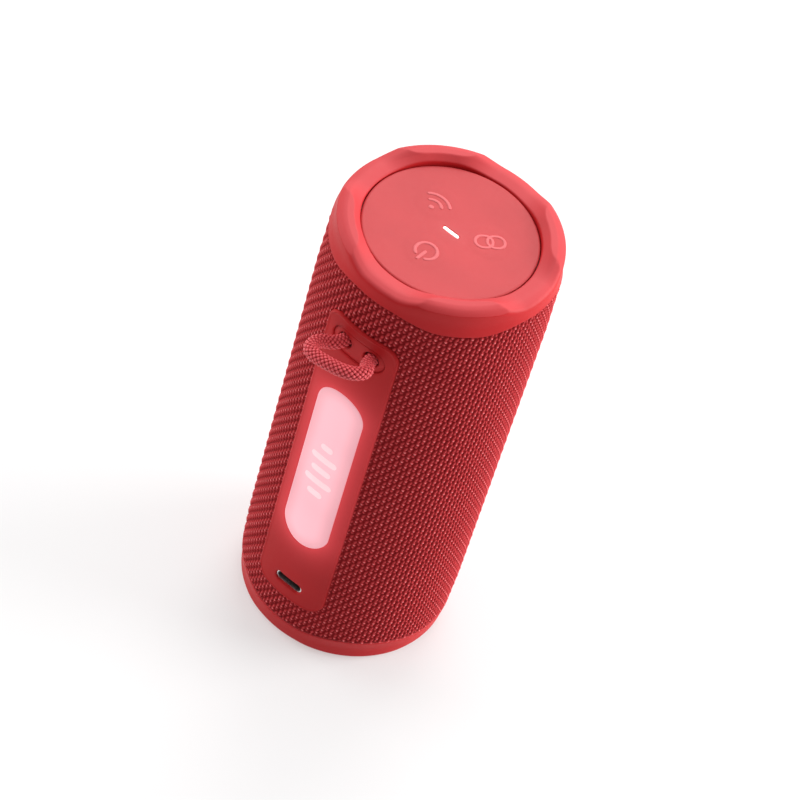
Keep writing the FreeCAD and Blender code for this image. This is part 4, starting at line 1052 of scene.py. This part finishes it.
# ---------------- foot end
def foot_end():
    """Bottom cap with a stepped frame, and the passive radiator's plate and roll."""
    rim_radius = SHELL_RADIUS / MM
    low, high = span("bottom_cap", 2)
    step, ledge = low - 0.25 * MM, low + 0.1 * MM
    profile = turned_profile([
        (20.2, high, 0.1, 0.1), (20.2, low + 0.2 * MM, 0.3, 0.3), (21.0, step, 0.2, 0.2),
        (21.9, step, 0.2, 0.2), (22.3, ledge, 0.1, 0.1), (rim_radius, ledge, 0.1, 0.1),
        (rim_radius, high, 0.1, 0.1)], 4)
    cap = turned_piece("foot_frame", profile, node_looks["foot_plastic"], "housing", "foot_plastic")
    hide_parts("bottom_cap")
    radius = span("radiator_plate", 0)[1] / MM
    low, high = span("radiator_plate", 2)
    dish, ledge = low + 0.35 * MM, low + 0.5 * MM
    profile = turned_profile([
        (0.01, high, 0, 0), (0.01, dish, 0, 0), (8.0, dish, 0.3, 0.3), (8.5, low, 0.3, 0.3),
        (12.6, low, 0.3, 0.3), (13.2, ledge, 0.3, 0.3), (radius, ledge, 0.2, 0.2),
        (radius, high, 0.1, 0.1)], 5)
    plate = turned_piece("radiator_face", profile, node_looks["radiator_plastic"], "passive_radiator",
                         "radiator_plastic")
    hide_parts("radiator_plate")
    radiator_roll()


def radiator_roll():
    """Half roll of rubber in eight sectors."""
    material = soft_rubber("radiator_rubber", tint(DARK_RED, 0.35), 0.5).material
    low, high = span("radiator_surround", 2)
    outer_radius = span("radiator_surround", 0)[1]
    roll = high - low
    centre = outer_radius - roll
    inner = roll - 0.5 * MM
    bend = np.linspace(0, math.pi, 25)
    shape = np.stack([centre - roll * np.cos(bend), high - roll * np.sin(bend)], -1)
    back = np.stack([centre - inner * np.cos(bend), high - inner * np.sin(bend)], -1)[::-1]
    profile = np.concatenate([shape, back])
    sag = np.concatenate([np.sin(bend) ** 2, 0 * bend])
    sectors, steps, ribs = 8, 32, 96
    for sector in range(sectors):
        angle = (sector + np.linspace(0, 1, steps + 1)) * 2 * math.pi / sectors
        rib = 0.12 * MM * (0.5 + 0.5 * np.cos(angle * ribs))[:, None]
        grid = around(profile[:, 0], profile[:, 1] + rib * sag, angle)
        faces = grid_faces(steps + 1, len(profile), False, True)
        piece = make_piece(f"radiator_roll_{sector + 1}", grid, faces, material, None,
                           "radiator_rubber")
        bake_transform(piece)
        if sector == 0:
            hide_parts("radiator_surround")


# ---------------- the rest of the CAD nodes
def dress_nodes():
    """Gives every CAD node that still shows the material of its slot."""
    slots = {part["node"]: part["material_slot"] for part in frame["record"]["subparts"]}
    for name, obj in frame["nodes"].items():
        look = node_looks.get(slots[name])
        if look and not obj.hide_render:
            dress(obj, look)


# ---------------- camera, light and floor
def camera():
    azimuth, elevation, roll = math.radians(26.3), math.radians(48.04), math.radians(17.54)
    distance, target = 0.88205, Vector((0, 0, TOP / 2))
    right = Vector((math.cos(azimuth), math.sin(azimuth), 0))
    back = Vector((math.sin(azimuth) * math.cos(elevation), -math.cos(azimuth) * math.cos(elevation),
                   math.sin(elevation)))
    up = back.cross(right)
    across = right * math.cos(roll) + up * math.sin(roll)
    upright = up * math.cos(roll) - right * math.sin(roll)
    data = bpy.data.cameras.new("camera")
    data.lens = 146.35
    data.sensor_width = 36
    data.shift_x, data.shift_y = 0.0068, 0.0136
    data.clip_start, data.clip_end = 0.05, 20
    obj = in_scene("camera", data)
    turn = Matrix((across, upright, back)).transposed().to_4x4()
    obj.matrix_world = Matrix.Translation(target + back * distance) @ turn
    bpy.context.scene.camera = obj


def area_light(name, place, width, strength):
    """A soft round lamp that points at the middle of the can."""
    data = bpy.data.lights.new(name, "AREA")
    data.shape = "DISK"
    data.size = width
    data.energy = strength
    obj = in_scene(name, data)
    obj.location = place
    obj.rotation_euler = (Vector((0, 0, TOP / 2)) - Vector(place)).to_track_quat("-Z", "Y").to_euler()


def studio():
    """Soft light from behind and above and a lamp at each side. The sky darkens towards the front, but the
    camera sees it plain and pale."""
    scene = bpy.context.scene
    scene.view_settings.view_transform = "Standard"
    world = bpy.data.worlds.new("studio")
    world.use_nodes = True
    nodes = Nodes(world.node_tree)
    background = nodes.tree.nodes["Background"]
    facing = nodes.node("VectorMath", i0=nodes.node("TexCoord").outputs["Generated"], i1=(-0.15, 0.35, 0.92))
    facing.operation = "DOT_PRODUCT"
    level = nodes.node("MapRange", Value=facing.outputs["Value"], From_Min=-0.1, From_Max=0.9, To_Min=0.0,
                       To_Max=0.95)
    level.interpolation_type = "SMOOTHSTEP"
    seen = nodes.node("LightPath").outputs["Is Camera Ray"]
    nodes.feed(background.inputs["Strength"], nodes.math("MAXIMUM", level.outputs[0], seen))
    nodes.feed(background.inputs["Color"], (1, 1, 1, 1))
    scene.world = world
    area_light("key_light", (-0.45, 0.9, 1.25), 1.0, 10)
    area_light("right_light", (1.1, 0.95, 0.45), 1.1, 30)
    area_light("left_light", (-1.25, -0.3, 0.45), 0.8, 8)
    floor_look = Look("floor", (0.46, 0.46, 0.46), 0.95, Specular_IOR_Level=0.1)
    floor_look.glow((1.0, 1.0, 1.0), 0.45)
    floor_look.bump(floor_look.noise(300, 3), 0.02 * MM, 0.2)
    mesh = bpy.data.meshes.new("floor")
    reach, cells = 4.0, 8
    ticks = np.linspace(-reach, reach, cells + 1)
    x, y = np.meshgrid(ticks, ticks, indexing="ij")
    corners = np.stack([x, y, 0 * x], -1).reshape(-1, 3).tolist()
    mesh.from_pydata(corners, [], grid_faces(cells + 1, cells + 1))
    mesh.materials.append(floor_look.material)
    floor = in_scene("floor", mesh)


node_looks = node_materials()
camera()
studio()
braid()
end_bumpers()
sleeve()
disc_skin()
icons()
status_bar()
rear_spine()
lit_window()
eyelets()
front_panel()
foot_end()
dress_nodes()
